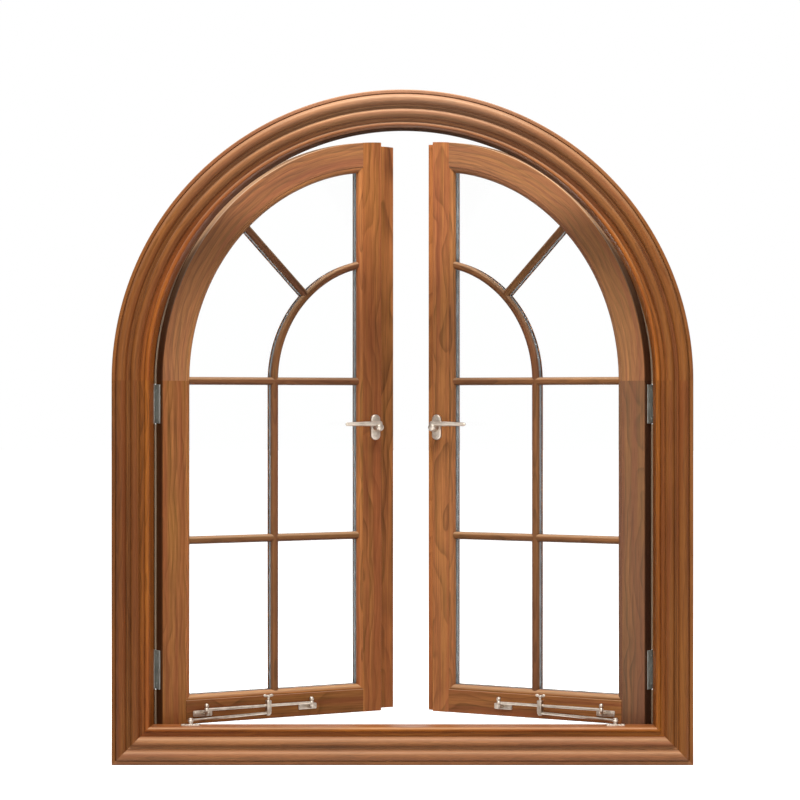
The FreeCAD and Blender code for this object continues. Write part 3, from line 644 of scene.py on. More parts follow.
class Graph:
    """Short way to write a material's nodes."""

    MIX_INPUTS = (0, 6, 7)
    MIX_RESULT = 2

    def __init__(self, name: str) -> None:
        """Makes an empty material with an output node.

        Args:
            name: Name of the material.
        """
        self.material = bpy.data.materials.new(name)
        self.material.use_nodes = True
        self.tree = self.material.node_tree
        self.tree.nodes.clear()
        self.output = self.tree.nodes.new("ShaderNodeOutputMaterial")

    def put(self, socket: Socket, value: Setting) -> None:
        """Links a socket to another one, or sets its value.

        Args:
            socket: Input of a node.
            value: Socket that it is linked to, or value that is set.
        """
        if isinstance(value, Socket):
            self.tree.links.new(value, socket)
        else:
            socket.default_value = value

    def add(self, kind: str, inputs: Optional[dict] = None, **settings: object) -> bpy.types.Node:
        """Adds a node.

        Args:
            kind: Type of the node, without its prefix.
            inputs: Socket name or number to a socket that is linked or a value that is set.
            settings: Properties of the node.

        Returns:
            The node.
        """
        node = self.tree.nodes.new("ShaderNode" + kind)
        for key, value in settings.items():
            setattr(node, key, value)
        for key, value in (inputs or {}).items():
            self.put(node.inputs[key], value)
        return node

    def math(self, operation: str, first: Value, second: Value = 0.0, third: Value = 0.0,
             clamp: bool = False) -> Socket:
        """Result of one arithmetic step on sockets or numbers."""
        inputs = {0: first, 1: second, 2: third}
        return self.add("Math", inputs, operation=operation, use_clamp=clamp).outputs[0]

    def times(self, first: Value, second: Value, clamp: bool = False) -> Socket:
        """Product of two sockets or numbers."""
        return self.math("MULTIPLY", first, second, clamp=clamp)

    def weighted(self, *terms: tuple[Value, float]) -> Socket:
        """Sum of sockets, each times its weight."""
        products = [self.times(value, weight) for value, weight in terms]
        return reduce(lambda total, part: self.math("ADD", part, total), reversed(products))

    def noise(self, vector: Socket, scale: Sequence[float], detail: float = 2.0,
              rough: float = 0.5) -> Socket:
        """Noise on a vector that is scaled along each axis.

        Args:
            vector: Place that the noise is taken at.
            scale: Factor for each axis.
            detail: Number of finer layers.
            rough: Strength of the finer layers.

        Returns:
            The noise, from 0 to 1.
        """
        scaled = self.add("VectorMath", {0: vector, 1: tuple(scale)}, operation="MULTIPLY").outputs[0]
        return self.add("TexNoise", {"Vector": scaled, "Scale": 1.0, "Detail": detail,
                                     "Roughness": rough}).outputs["Fac"]

    def ramp(self, value: Socket, stops: Stops) -> Socket:
        """Curve through (value, result) stops, with straight runs between."""
        return self.colours(value, [(place, (level, level, level)) for place, level in stops])

    def colours(self, value: Socket, stops: Sequence[tuple[float, Colour]]) -> Socket:
        """Colour for a value, from (value, colour) stops.

        Args:
            value: Value from 0 to 1.
            stops: Values and their colours, in order.

        Returns:
            The colour.
        """
        node = self.add("ValToRGB", {"Fac": value})
        band = node.color_ramp.elements
        while len(band) < len(stops):
            band.new(1.0)
        for element, (place, colour) in zip(band, stops):
            element.position = place
            element.color = (*colour, 1.0)
        return node.outputs["Color"]

    def mixed(self, share: Value, first: Setting, second: Setting, blend: str = "MIX") -> Socket:
        """Mix of two colours by a share.

        Args:
            share: Share of the second colour.
            first, second: Sockets or colours.
            blend: How the second colour is laid on the first.

        Returns:
            The mixed colour.
        """
        node = self.add("Mix", data_type="RGBA", blend_type=blend)
        for number, value in zip(self.MIX_INPUTS, (share, first, second)):
            self.put(node.inputs[number], value)
        return node.outputs[self.MIX_RESULT]

    def toward(self, share: Value, colour: Socket, code: str) -> Socket:
        """Colour drawn towards a colour code by a share."""
        return self.mixed(share, colour, (*srgb(code), 1.0))

    def split(self, vector: Socket) -> Sequence[Socket]:
        """The three parts of a vector."""
        return self.add("SeparateXYZ", {0: vector}).outputs

    def attribute(self, name: str, output: str) -> Socket:
        """Output of one of the piece's own attributes."""
        return self.add("Attribute", attribute_name=name).outputs[output]

    def position(self) -> Socket:
        """Object coordinates."""
        return self.add("TexCoord").outputs["Object"]

    def bump(self, height: Socket, strength: float, distance: float) -> Socket:
        """Normal from a height."""
        inputs = {"Height": height, "Strength": strength, "Distance": distance}
        return self.add("Bump", inputs).outputs[0]

    def finished(self, inputs: dict) -> bpy.types.Material:
        """Ends in one Principled shader with these inputs.

        Args:
            inputs: Socket name to a socket that is linked or a value that is set.

        Returns:
            The material.
        """
        shader = self.add("BsdfPrincipled", inputs)
        self.tree.links.new(shader.outputs[0], self.output.inputs[0])
        return self.material


@dataclass(frozen=True)
class StainedWood:
    """Open-grained timber under a satin stain; growth rings, fibres and pores follow the board.

    Surfaces that face up get a painted highlight in the pale colour, those that face down get
    painted shade in the dark colour of the hollows, and the head of the window gets painted light
    in the faded colour. Hollows and sheltered places get painted shade, and arrises a lighter
    colour that is partly wear and partly painted highlight.
    """

    slot: Slot
    light: str
    middle: str
    dark: str
    golden: str
    reddish: str
    # Faded is also the colour of the painted light at the head, hollow that of all painted shade, and pale
    # that of the painted highlight on faces that look up; the fields after contrast set the strength of that
    # highlight and of the light at the head, and shelter the strength of painted shade in sheltered places.
    faded: str
    hollow: str
    contrast: float
    top_highlight: float
    head_light: float = 0.0
    pale: str = "D6B08A"
    shelter: float = 0.3
    ring_width: float = 0.0072
    roughness: float = 0.34

    WANDER_SCALE = (7.0, 7.0, 3.2)
    BAND_SCALE = (80.0, 80.0, 1.2)
    FIBRE_SCALE = (260.0, 260.0, 4.5)
    HAIR_SCALE = (800.0, 800.0, 12.0)
    PORE_SCALE = (1300.0, 1300.0, 26.0)
    MOTTLE_SCALE = (9.0, 9.0, 2.2)
    STREAK_SCALE = (55.0, 55.0, 1.0)
    RING_SHADE = ((0.0, 0.05), (0.35, 0.1), (0.75, 0.55), (0.92, 1.0), (1.0, 0.05))
    PORE_SHADE = ((0.0, 0.0), (0.56, 0.0), (0.68, 1.0))
    GOLDEN_SHARE = ((0.3, 0.05), (0.68, 0.5))
    REDDISH_SHARE = ((0.45, 0.0), (0.65, 0.55))
    WEAR_AND_SHEEN_SHARE = ((0.35, 0.25), (0.65, 1.0))
    BELOW_SHADE_SHARE = ((0.2, 0.0), (0.8, 0.35))
    PITH_ASIDE = 0.03
    PITH_BEHIND = 0.10
    WANDER = 0.05
    FIGURE_MIDDLE = 0.73
    FIGURE_SPREAD = 0.19
    PORE_DARK = 0.35
    HOLLOW_SHADE = -0.22
    ARRIS_WEAR_AND_SHEEN = 0.14
    SHELTER_ROUGH = 0.66
    SPECULAR = 0.16
    SPECULAR_TINT = (1.0, 0.8, 0.55, 1.0)

    def rings(self, g: Graph, grain: Socket) -> Socket:
        """Growth rings: fract(q / ring_width), q being the distance from the pith plus a slow wander.

        Args:
            g: Graph of the material.
            grain: Place in the board.

        Returns:
            How dark the rings are.
        """
        wander = g.math("SUBTRACT", g.noise(grain, self.WANDER_SCALE), 0.5)
        axes = g.split(grain)
        aside = g.math("ADD", axes[0], self.PITH_ASIDE)
        behind = g.math("ADD", axes[1], self.PITH_BEHIND)
        from_pith = g.math("SQRT", g.math("ADD", g.times(aside, aside), g.times(behind, behind)))
        run = g.math("ADD", from_pith, g.times(wander, self.WANDER))
        return g.ramp(g.math("FRACT", g.math("DIVIDE", run, self.ring_width)), self.RING_SHADE)

    def stain(self, g: Graph, grain: Socket, figure: Socket, tone: Socket) -> Socket:
        """Stain on the figure, golden and reddish in places, mottled and in the tone set for the board.

        Args:
            g: Graph of the material.
            grain: Place in the board.
            figure: How dark the rings and fibres are.
            tone: How much lighter the board is drawn.

        Returns:
            The colour.
        """
        middle, half = self.FIGURE_MIDDLE, self.FIGURE_SPREAD / self.contrast
        mottle = g.noise(grain, self.MOTTLE_SCALE, 3.0, 0.55)
        streaks = g.noise(grain, self.STREAK_SCALE, 2.0, 0.55)
        colour = g.colours(figure, ((middle - half, srgb(self.light)), (middle, srgb(self.middle)),
                                    (middle + half, srgb(self.dark))))
        colour = g.toward(g.ramp(mottle, self.GOLDEN_SHARE), colour, self.golden)
        colour = g.toward(g.ramp(streaks, self.REDDISH_SHARE), colour, self.reddish)
        shade = g.times(g.math("MULTIPLY_ADD", mottle, 0.5, 0.76), g.math("ADD", tone, 1.0))
        return g.mixed(1.0, colour, shade, blend="MULTIPLY")

    def material(self) -> bpy.types.Material:
        """Builds the material; fibres and pores are noise drawn out along the board.

        Returns:
            The material.
        """
        g = Graph(self.slot.value)
        grain = g.attribute("grain", "Vector")
        relief = g.attribute("relief", "Fac")
        upward = g.attribute("upward", "Fac")
        tone = g.split(g.attribute("tone", "Vector"))
        ring = self.rings(g, grain)
        bands = g.noise(grain, self.BAND_SCALE, 3.0, 0.6)
        fibres = g.noise(grain, self.FIBRE_SCALE, 4.0, 0.62)
        hairs = g.noise(grain, self.HAIR_SCALE, 3.0, 0.6)
        pores = g.ramp(g.noise(grain, self.PORE_SCALE, 1.0), self.PORE_SHADE)
        figure = g.weighted((ring, 0.2), (fibres, 0.62), (bands, 0.42), (hairs, 0.30))
        colour = self.stain(g, grain, figure, tone[0])
        # Painted light: the head of the window is drawn towards the faded colour by height.
        above = g.times(g.split(g.position())[2], 0.5)
        head_light_share = g.ramp(above, ((0.68, 0.0), (0.8, 0.35 * self.head_light), (0.865, self.head_light)))
        colour = g.toward(g.math("MAXIMUM", tone[1], head_light_share), colour, self.faded)
        colour = g.toward(g.times(pores, self.PORE_DARK), colour, self.dark)
        # Painted shade: sheltered places and hollows are drawn towards the hollow colour.
        shelter = g.math("MULTIPLY_ADD", relief, -1.0, -1.0, clamp=True)
        sunk = g.times(relief, self.HOLLOW_SHADE, clamp=True)
        colour = g.toward(g.math("MULTIPLY_ADD", shelter, self.shelter, sunk), colour, self.hollow)
        # Arrises are drawn towards the light colour: partly wear, partly painted highlight.
        wear_and_sheen = g.times(g.times(relief, self.ARRIS_WEAR_AND_SHEEN, clamp=True), g.ramp(fibres, self.WEAR_AND_SHEEN_SHARE))
        colour = g.toward(wear_and_sheen, colour, self.light)
        # Painted highlight: faces that look up are drawn towards the pale colour.
        top_highlight_share = g.ramp(upward, ((0.1, 0.0), (0.55, self.top_highlight), (0.85, self.top_highlight),
                                   (1.0, 0.2 * self.top_highlight)))
        colour = g.toward(top_highlight_share, colour, self.pale)
        # Painted shade: faces that look down are drawn towards the hollow colour.
        colour = g.toward(g.ramp(g.times(upward, -1.0), self.BELOW_SHADE_SHARE), colour, self.hollow)
        height = g.math("SUBTRACT", g.times(fibres, 0.5), g.weighted((pores, 0.6), (ring, 0.25)))
        rough = g.math("ADD", g.math("MULTIPLY_ADD", hairs, 0.12, self.roughness - 0.06),
                       g.math("MULTIPLY_ADD", pores, 0.15, g.times(shelter, self.SHELTER_ROUGH)))
        return g.finished({"Base Color": colour, "Roughness": rough,
                           "Normal": g.bump(height, 0.22, 0.0006),
                           "Specular IOR Level": self.SPECULAR, "Specular Tint": self.SPECULAR_TINT})


@dataclass(frozen=True)
class BrushedMetal:
    """Metal with a faint brushed grain and cloudy tarnish, or the same under a dull coat."""

    slot: Slot
    colour: str
    tarnish: str
    roughness: float
    metallic: float = 1.0
    specular: float = 0.5

    def material(self) -> bpy.types.Material:
        """Builds the material from noise on Object coordinates.

        Returns:
            The material.
        """
        g = Graph(self.slot.value)
        place = g.position()
        cloud = g.noise(place, (45.0, 45.0, 45.0), 3.0, 0.6)
        brush = g.noise(place, (240.0, 240.0, 2600.0), 2.0, 0.6)
        colour = g.colours(cloud, ((0.3, srgb(self.colour)), (0.75, srgb(self.tarnish))))
        rough = g.math("ADD", self.roughness - 0.1, g.weighted((brush, 0.14), (cloud, 0.08)))
        return g.finished({"Base Color": colour, "Metallic": self.metallic, "Roughness": rough,
                           "Specular IOR Level": self.specular, "Normal": g.bump(brush, 0.12, 0.0003)})


@dataclass(frozen=True)
class SoftRubber:
    """Matt sealing rubber with fine pitting and a little dust; where its tone is faded it is pale."""

    slot: Slot
    colour: str
    dust: str
    pale: str

    def material(self) -> bpy.types.Material:
        """Builds the material from noise on Object coordinates.

        Returns:
            The material.
        """
        g = Graph(self.slot.value)
        place = g.position()
        pits = g.noise(place, (900.0, 900.0, 900.0))
        dust = g.noise(place, (25.0, 25.0, 25.0), 4.0, 0.65)
        colour = g.colours(dust, ((0.4, srgb(self.colour)), (0.8, srgb(self.dust))))
        colour = g.toward(g.split(g.attribute("tone", "Vector"))[1], colour, self.pale)
        return g.finished({"Base Color": colour, "Roughness": g.math("MULTIPLY_ADD", pits, 0.2, 0.65),
                           "Specular IOR Level": 0.1, "Normal": g.bump(pits, 0.3, 0.0003)})


@dataclass(frozen=True)
class ClearGlass:
    """Float glass with a faint waviness."""

    slot: Slot
    tint: Colour = (0.998, 1.0, 0.999)

    def material(self) -> bpy.types.Material:
        """Builds the material; the waviness is slow noise on Object coordinates.

        Returns:
            The material.
        """
        g = Graph(self.slot.value)
        wave = g.noise(g.position(), (7.0, 7.0, 4.0), 1.0)
        return g.finished({"Base Color": (*self.tint, 1.0), "Roughness": 0.0, "IOR": 1.12,
                           "Transmission Weight": 1.0, "Normal": g.bump(wave, 0.05, 0.0008)})


FINISHES = (
    StainedWood(Slot.CASING, light="8B552C", middle="6F3E1D", dark="42210F", golden="855424",
                reddish="6C3319", faded="C2A086", hollow="482812", contrast=0.55, top_highlight=0.14,
                head_light=0.3),
    StainedWood(Slot.FRAME, light="9E5C26", middle="80451D", dark="4A220C", golden="9C5C1A",
                reddish="7E3A1A", faded="C2A086", hollow="2C1507", contrast=1.0, top_highlight=0.3,
                head_light=0.38, shelter=0.62),
    StainedWood(Slot.SASH, light="AD6C3F", middle="854F2E", dark="4C2A18", golden="A06E34",
                reddish="84432A", faded="7A746C", hollow="3E2517", contrast=1.05, top_highlight=0.3,
                shelter=0.15),
    BrushedMetal(Slot.NICKEL, colour="C9BDB0", tarnish="A09486", roughness=0.36),
    BrushedMetal(Slot.HINGE, colour="B0B1AA", tarnish="92938B", roughness=0.65, metallic=0.0,
                 specular=0.2),
    BrushedMetal(Slot.SPACER, colour="8C8E8E", tarnish="707272", roughness=0.6, metallic=0.0,
                 specular=0.15),
    SoftRubber(Slot.SEAL, colour="23211F", dust="3A3632", pale="A38D76"),
    ClearGlass(Slot.GLASS),
)


@dataclass
class Surround:
    """Moulded casing on the wall and the inner frame behind it, each of four members."""

    finishes: dict[Slot, bpy.types.Material]
    tones: dict[str, Tone]
    casing_width: float = 72.0
    frame_proud: float = 3.0
    frame_edge: float = 50.0
    frame_bevel: float = 5.0
    nosing_at: float = 83.0
    nosing_proud: float = 6.0
    nosing_back: float = 6.0
    shade_spread: float = 3.0
    stop_at: float = 99.0
    lifted: float = 3.5
    stations: int = 181

    def casing_section(self) -> Section:
        """Fillet, quirk, torus, two fine fillets and inner roll.

        Returns:
            Outline of the casing.
        """
        edge, wide, land = -self.frame_proud, self.casing_width, SIZES.casing_land
        fillet, quirk, torus, step, valley, roll, nose = -20.0, -17.4, -30.0, -16.0, -14.0, -22.0, -7.0
        return Section.drawn((0, 0), arc((0, -17), (0.88, -19.12), (3, fillet), 5), (9, fillet),
                             (9.4, quirk), arc((11.4, quirk), (25.2, torus), (38, step), 21),
                             (43, step), (43, valley), arc((48, valley), (51, -19.6), (58, roll), 9),
                             arc((58, roll), (67.52, -17.5), (wide, nose), 11), (wide, edge),
                             (land, edge), (land, 0), ease=0.9, step=4.0)

    def frame_section(self, stop_at: float) -> Section:
        """Flat band, nosing and reveal indoors; stop and sash rebate outdoors.

        Args:
            stop_at: Inset of the reveal's inner edge at the stop.

        Returns:
            Outline of the frame.
        """
        front, arris, rebate = -self.frame_proud, SIZES.arris_at, SIZES.rebate_at
        crest = ((self.nosing_at + arris) / 2, front - self.nosing_proud)
        section = Section.drawn((self.frame_edge, front + self.frame_bevel),
                                (self.frame_edge + self.frame_bevel, front), (self.nosing_at, front),
                                arc((self.nosing_at, front), crest, (arris, front), 13),
                                (stop_at, SIZES.stop_depth), (rebate, SIZES.stop_depth),
                                (rebate, SIZES.frame_depth), (self.frame_edge, SIZES.frame_depth),
                                ease=1.2)
        # Painted shade along the band beside the casing's inner edge.
        return section.with_painted_shade(self.casing_width, front, self.shade_spread)

    def members(self, section: Section, head: Section, bottom: Section) -> dict[str, Shell]:
        """Left and right uprights, head and bottom member, mitred in the lower corners.

        What stands past the level sill is cut square on top of it.

        Args:
            section: Outline of the uprights.
            head: Outline of the round head.
            bottom: Outline of the bottom member.

        Returns:
            Shell of each member by its place.
        """
        half, low = SIZES.half_width, SIZES.bottom
        mitre = low + np.minimum(section.inset, SIZES.arris_at)
        right = carried(section, upright_run(-half), mitre, SIZES.spring)
        return {
            "left_jamb": carried(section, upright_run(-half), mitre, SIZES.spring),
            "right_jamb": right.moved(mirrored),
            "arch": carried(head, ArchedRun(half, self.stations), 0.0, math.pi * half),
            "bottom": carried(bottom, level_run(low), bottom.inset - half, half - bottom.inset),
        }

    def make(self, node: str, shell: Shell, slot: Slot) -> None:
        """Makes one member, in the tone set for it, that stands for the node of that name."""
        toned = shell.toned(self.tones.get(node, PLAIN))
        make_piece(f"{node}_wood", [toned], self.finishes[slot], [node])

    def build(self) -> None:
        """Makes the eight members and dresses the seal on the stop.

        Painted shade on the underside of the frame's head grows with the sine of the angle, and so
        does the lift of its nosing: inset - lifted sin(angle) reach, where reach grows from 0 at
        the casing to 1 at the arris.
        """
        casing = self.casing_section()
        for place, shell in self.members(casing, casing, casing).items():
            self.make(f"casing_{place}", shell, Slot.CASING)
        jamb, sill = self.frame_section(self.stop_at), self.frame_section(SIZES.arris_at)
        # Painted shade on the reveal behind the stop, laid on the head only.
        shelter = jamb.sheltered(SIZES.rebate_at, self.stop_at, self.nosing_back).relief - jamb.relief
        overhead = np.sin(np.linspace(0, np.pi, self.stations))[:, None]
        reach = np.clip((jamb.inset - self.casing_width) / (SIZES.arris_at - self.casing_width), 0, 1)
        lift = self.lifted * overhead * reach * (jamb.depth < self.nosing_back)
        head = Section(jamb.inset - lift, jamb.depth, jamb.relief + overhead * shelter)
        for place, shell in self.members(jamb, head, sill).items():
            node = "frame_sill" if place == "bottom" else f"frame_{place}"
            self.make(node, shell, Slot.FRAME)
        dress("frame_gasket", self.finishes[Slot.SEAL])


@dataclass
class Sash:
    """One casement sash with its glazing, drawn closed on the left, swung open and then handed."""

    side: Side
    angle: float
    edge: float
    finishes: dict[Slot, bpy.types.Material]
    tones: dict[str, Tone]
    stile_width: float = 81.0
    rail_width: float = 76.5
    lip: float = 7.0
    lip_thick: float = 8.0
    let_in: float = 1.0
    seal_wrap: float = 0.4
    seal_inner: float = 2.4
    seal_proud: float = 1.2
    seal_sunk: float = 0.3
    head_taper: float = 0.8
    head_stations: int = 97
    ring_stations: int = 49
    edge_shade: float = 0.6
    edge_shade_from: float = 3.0
    hinge_room: float = 2.0
    bead_width: float = 14.0
    bead_depth: float = 13.0
    bead_quirk: float = 1.5
    glass_setback: float = 16.0
    glass_lap: float = 15.0
    unit_thick: float = 20.0
    meeting_sight: float = 78.0
    tongue_reach: float = 42.0
    tongue_thick: float = 22.0
    tongue_clearance: float = 2.0
    tongue_shade: float = 9.0
    tongue_rise: float = 4.0
    tongue_drop: float = 8.0
    strip_width: float = 13.0
    strip_rise: float = 3.0
    strip_drop: float = 7.0
    bar_width: float = 21.0
    bar_proud: float = 11.0
    bar_round: float = 9.0
    bar_overrun: float = 10.0
    outer_bar_width: float = 17.0
    outer_bar_proud: float = 8.0
    outer_bar_round: float = 6.0
    outer_bar_overrun: float = 8.0
    outer_bead_chamfer: float = 7.5
    cross_bar_drop: float = 420.0
    spoke_angle: float = 135.0
    bar_sink: float = 0.25
    glass_front: float = field(init=False)
    glass_back: float = field(init=False)
    sight_radius: float = field(init=False)
    sight_base: float = field(init=False)
    meeting_flat: float = field(init=False)

    def __post_init__(self) -> None:
        """Works out the places that follow from the sizes."""
        self.glass_front = SIZES.sash_front + self.glass_setback
        self.glass_back = self.glass_front + self.unit_thick
        self.sight_radius = SIZES.sash_radius - self.stile_width
        self.sight_base = SIZES.sash_base + self.rail_width
        self.meeting_flat = self.meeting_sight - self.bead_width

    def handed(self, points: np.ndarray) -> np.ndarray:
        """Left-hand points, mirrored for the right sash."""
        return points if self.side is Side.LEFT else mirrored(points)

    def swung(self, points: np.ndarray) -> np.ndarray:
        """Turns closed left-hand points about the hinge axis and hands them.

        Args:
            points: Points of the closed left-hand sash.

        Returns:
            The same points on the open sash.
        """
        turn = math.radians(self.angle)
        x = points[..., 0] + SIZES.hinge_x
        y = points[..., 1] - SIZES.hinge_y
        return self.handed(np.stack((x * math.cos(turn) - y * math.sin(turn) - SIZES.hinge_x,
                                     x * math.sin(turn) + y * math.cos(turn) + SIZES.hinge_y,
                                     points[..., 2]), axis=-1))

    def name(self, part: str) -> str:
        """Name of a part of this sash."""
        return f"{self.side.value}_{part}"

    def make(self, part: str, shells: Sequence[Shell], slot: Slot, ending: str,
             replaced: bool = True, swings: bool = True) -> None:
        """Makes one piece of this sash.

        Args:
            part: Name of the part and of its node.
            shells: Left-hand shells, drawn closed.
            slot: Slot of the record that it takes its finish from.
            ending: Last word of the piece's name.
            replaced: Whether the piece stands for the node.
            swings: Whether it opens with the sash; what doesn't is only handed.
        """
        change = self.swung if swings else self.handed
        tone = self.tones.get(part, PLAIN)
        make_piece(self.name(f"{part}_{ending}"), [shell.moved(change).toned(tone) for shell in shells],
                   self.finishes[slot], [self.name(part)] if replaced else [])

    def block_section(self, flat: float) -> Section:
        """Main part of a member: square, with the glazing rebate taken out at the back.

        Args:
            flat: Width of the member up to its bead.

        Returns:
            Outline of the block.
        """
        front, back, inner = SIZES.sash_front, SIZES.sash_back, flat - self.let_in
        block = Section.drawn((0, front), (flat, front), (flat, self.glass_front),
                              (inner, self.glass_front), (inner, back), (0, back), ease=2.0)
        # Painted shade on the member's outer edge, behind its face.
        return block.sheltered(0.0, self.edge_shade, front + self.edge_shade_from)

    def bead_section(self, flat: float) -> Section:
        """Ovolo bead that falls from the member's face to the glass.

        Args:
            flat: Inset that the bead starts from.

        Returns:
            Outline of the bead.
        """
        top = SIZES.sash_front + self.bead_quirk
        low = SIZES.sash_front + self.bead_depth
        sight = flat + self.bead_width
        half = math.sqrt(0.5)
        bend = (flat + self.bead_width * half, top + (low - top) * (1 - half))
        # Painted shade in the quirk where the bead leaves the face.
        return Section.drawn((flat, self.glass_front), arc((flat, top), bend, (sight, low), 11),
                             (sight, self.glass_front), ease=0.8, step=3.0).with_painted_shade(flat, top)

    def beading(self, bead: Section, run: Union[StraightRun, ArchedRun], low: Limit, high: Limit) -> Shell:
        """Carries the bead along a run, in the tone set for the sash's beads, which paints light on one sash
        and shade on the other.
        """
        return carried(bead, run, low, high).toned(self.tones.get("bead", PLAIN))

    def lip_section(self) -> Section:
        """Lip at the back of the sash's outer edge, let into the member and sunk by a hair.

        Returns:
            Outline of the lip.
        """
        back = SIZES.sash_back - self.bar_sink
        front = SIZES.sash_back - self.lip_thick
        lip = Section.drawn((-self.lip, front), (self.let_in, front), (self.let_in, back),
                            (-self.lip, back), ease=0.7)
        # The whole lip is painted dark and dull, as deep shade.
        return replace(lip, relief=np.full(lip.relief.shape, Section.SHELTERED))

    def lip_stretches(self) -> tuple[tuple[float, float], ...]:
        """Heights between which the lip runs, clear of the hinges.

        Returns:
            Lower and upper end of each stretch.
        """
        room = SIZES.hinge_length / 2 + self.hinge_room
        lower, upper = SIZES.hinge_middles
        return ((SIZES.sash_base, lower - room), (lower + room, upper - room), (upper + room, SIZES.spring))

    def lip_seal(self) -> list[Shell]:
        """Pale seal on the front of the lip, up the hinge side and round the head.

        Returns:
            One shell for each stretch, and one round the head.
        """
        front = SIZES.sash_back - self.lip_thick
        outer, inner = -self.lip - self.seal_wrap, -self.seal_inner
        face, foot = front - self.seal_proud, front + self.seal_sunk
        seal = Section.drawn((outer, face), (inner, face), (inner, foot), (outer, foot), ease=0.5)
        run, arch = upright_run(-SIZES.sash_radius), ArchedRun(SIZES.sash_radius, self.head_stations)
        head = self.tapered(seal)
        end = arch.along_to(np.full(head.inset.shape, self.meeting_flat), head.inset)
        sides = [carried(seal, run, low, high) for low, high in self.lip_stretches()]
        return [*sides, carried(head, arch, 0.0, end)]

    def tapered(self, section: Section) -> Section:
        """The same section, narrowed along the head: inset (1 - taper t) where it is below 0."""
        narrowed = section.inset * (1 - self.head_taper * np.linspace(0, 1, self.head_stations)[:, None])
        return replace(section, inset=np.where(section.inset < 0, narrowed, section.inset))

    def hinge_stile(self) -> list[Shell]:
        """Upright on the hinge side, its bead mitred into the bottom rail's, its lip cut at the hinges.

        Returns:
            Block, bead and lips.
        """
        flat = self.stile_width - self.bead_width
        run = upright_run(-SIZES.sash_radius)
        bead = self.bead_section(flat)
        foot = self.sight_base - self.bead_width + (bead.inset - flat)
        lips = [carried(self.lip_section(), run, low, high) for low, high in self.lip_stretches()]
        return [carried(self.block_section(flat), run, SIZES.sash_base, SIZES.spring),
                self.beading(bead, run, foot, SIZES.spring), *lips]

    def arched_rail(self) -> list[Shell]:
        """Round head, cut square against the meeting stile with its bead mitred.

        Returns:
            Block, lip and bead.
        """
        flat = self.stile_width - self.bead_width
        run = ArchedRun(SIZES.sash_radius, self.head_stations)
        bead = self.bead_section(flat)
        square = [carried(section, run, 0.0, run.along_to(np.full(section.inset.shape, self.meeting_flat),
                                                          section.inset))
                  for section in (self.block_section(flat), self.tapered(self.lip_section()))]
        bead_end = run.along_to(self.meeting_flat + bead.inset - flat, bead.inset)
        return [*square, self.beading(bead, run, 0.0, bead_end)]

    def bottom_rail(self) -> list[Shell]:
        """Bottom rail between the stiles, its bead mitred at both ends.

        Returns:
            Block and bead.
        """
        flat = self.rail_width - self.bead_width
        run = level_run(SIZES.sash_base)
        bead = self.bead_section(flat)
        stile_flat = SIZES.sash_radius - self.stile_width + self.bead_width
        reach = bead.inset - flat
        return [carried(self.block_section(flat), run, -stile_flat, -self.meeting_flat),
                self.beading(bead, run, reach - stile_flat, -self.meeting_flat - reach)]

    def head_height(self, x: np.ndarray, cut: float = 0.0) -> np.ndarray:
        """Top of the sash at X, lowered with its radius by cut: spring + sqrt((R - cut)^2 - x^2)."""
        return SIZES.spring + np.sqrt((SIZES.sash_radius - cut) ** 2 - x ** 2)

    def upright_block(self, section: Section, x: float, low: float, cut: float = 0.0) -> Shell:
        """Upright whose top follows the round head."""
        return carried(section, upright_run(x), low, self.head_height(x + section.inset, cut))

    def meeting_stile(self) -> list[Shell]:
        """Upright at the middle of the window; the left one has a tongue that laps the right one.

        Returns:
            Block, bead and, on the left sash, the tongue.
        """
        front, back, glass = SIZES.sash_front, SIZES.sash_back, self.glass_front
        left = -self.meeting_flat
        step = back - self.tongue_thick - self.tongue_clearance
        if self.side is Side.LEFT:
            wide = self.meeting_flat - self.edge
            free_edge = [(wide, front), (wide, back)]
        else:
            wide = self.meeting_flat - self.strip_width
            notch = self.meeting_flat - self.tongue_reach - self.tongue_clearance
            free_edge = [(wide, front), (wide, step), (notch, step), (notch, back)]
        body = Section.drawn((0, front), *free_edge, (self.let_in, back), (self.let_in, glass), (0, glass),
                             ease=1.4)
        bead = self.bead_section(0.0)
        top_flat = self.head_height(np.array(self.meeting_flat), self.stile_width - self.bead_width)
        top_sight = self.head_height(np.array(self.meeting_sight), self.stile_width)
        foot = self.sight_base - self.bead_width + bead.inset
        head = top_flat + (top_sight - top_flat) * bead.inset / self.bead_width
        shells = [self.upright_block(body, left, SIZES.sash_base),
                  self.beading(bead, upright_run(left, -1.0), foot, head)]
        if self.side is Side.LEFT:
            reach = self.tongue_reach + self.edge
            face = back - self.tongue_thick
            tongue = Section.drawn((0, face), (reach, face), (reach, back), (0, back), ease=1.4, step=2.5)
            # Painted shade on the tongue beside the step.
            shaded = tongue.sheltered(0.0, self.tongue_shade, 0.0)
            shells.append(self.upright_block(shaded, -self.edge, SIZES.sash_base + self.tongue_rise,
                                             self.tongue_drop))
        return shells

    def meeting_strip(self) -> list[Shell]:
        """Closing strip down the free edge of the right sash.

        Returns:
            One shell.
        """
        front, wide = SIZES.sash_front, self.strip_width
        back = SIZES.sash_back - self.tongue_thick - self.tongue_clearance
        strip = Section.drawn((0, front), (wide, front), (wide, back), (0, back), ease=1.4)
        return [self.upright_block(strip, -wide, SIZES.sash_base + self.strip_rise, self.strip_drop)]

    @staticmethod
    def bar_section(width: float, back: float, front: float, rounding: float) -> Section:
        """Bar about its middle line, with the edges of its face rounded.

        Args:
            width: Width of the bar.
            back: Y of the glass that it stands on.
            front: Y of its face.
            rounding: Radius of its edges.

        Returns:
            Outline of the bar.
        """
        half = width / 2
        side = math.copysign(rounding, back - front)
        soft = rounding * (1 - math.sqrt(0.5))
        lip = math.copysign(soft, back - front)
        flat = half - rounding
        left = arc((-half, front + side), (-half + soft, front + lip), (-flat, front), 7)
        right = arc((flat, front), (half - soft, front + lip), (half, front + side), 7)
        return Section.drawn((-half, back), left, right, (half, back), ease=0.6, step=4.0)

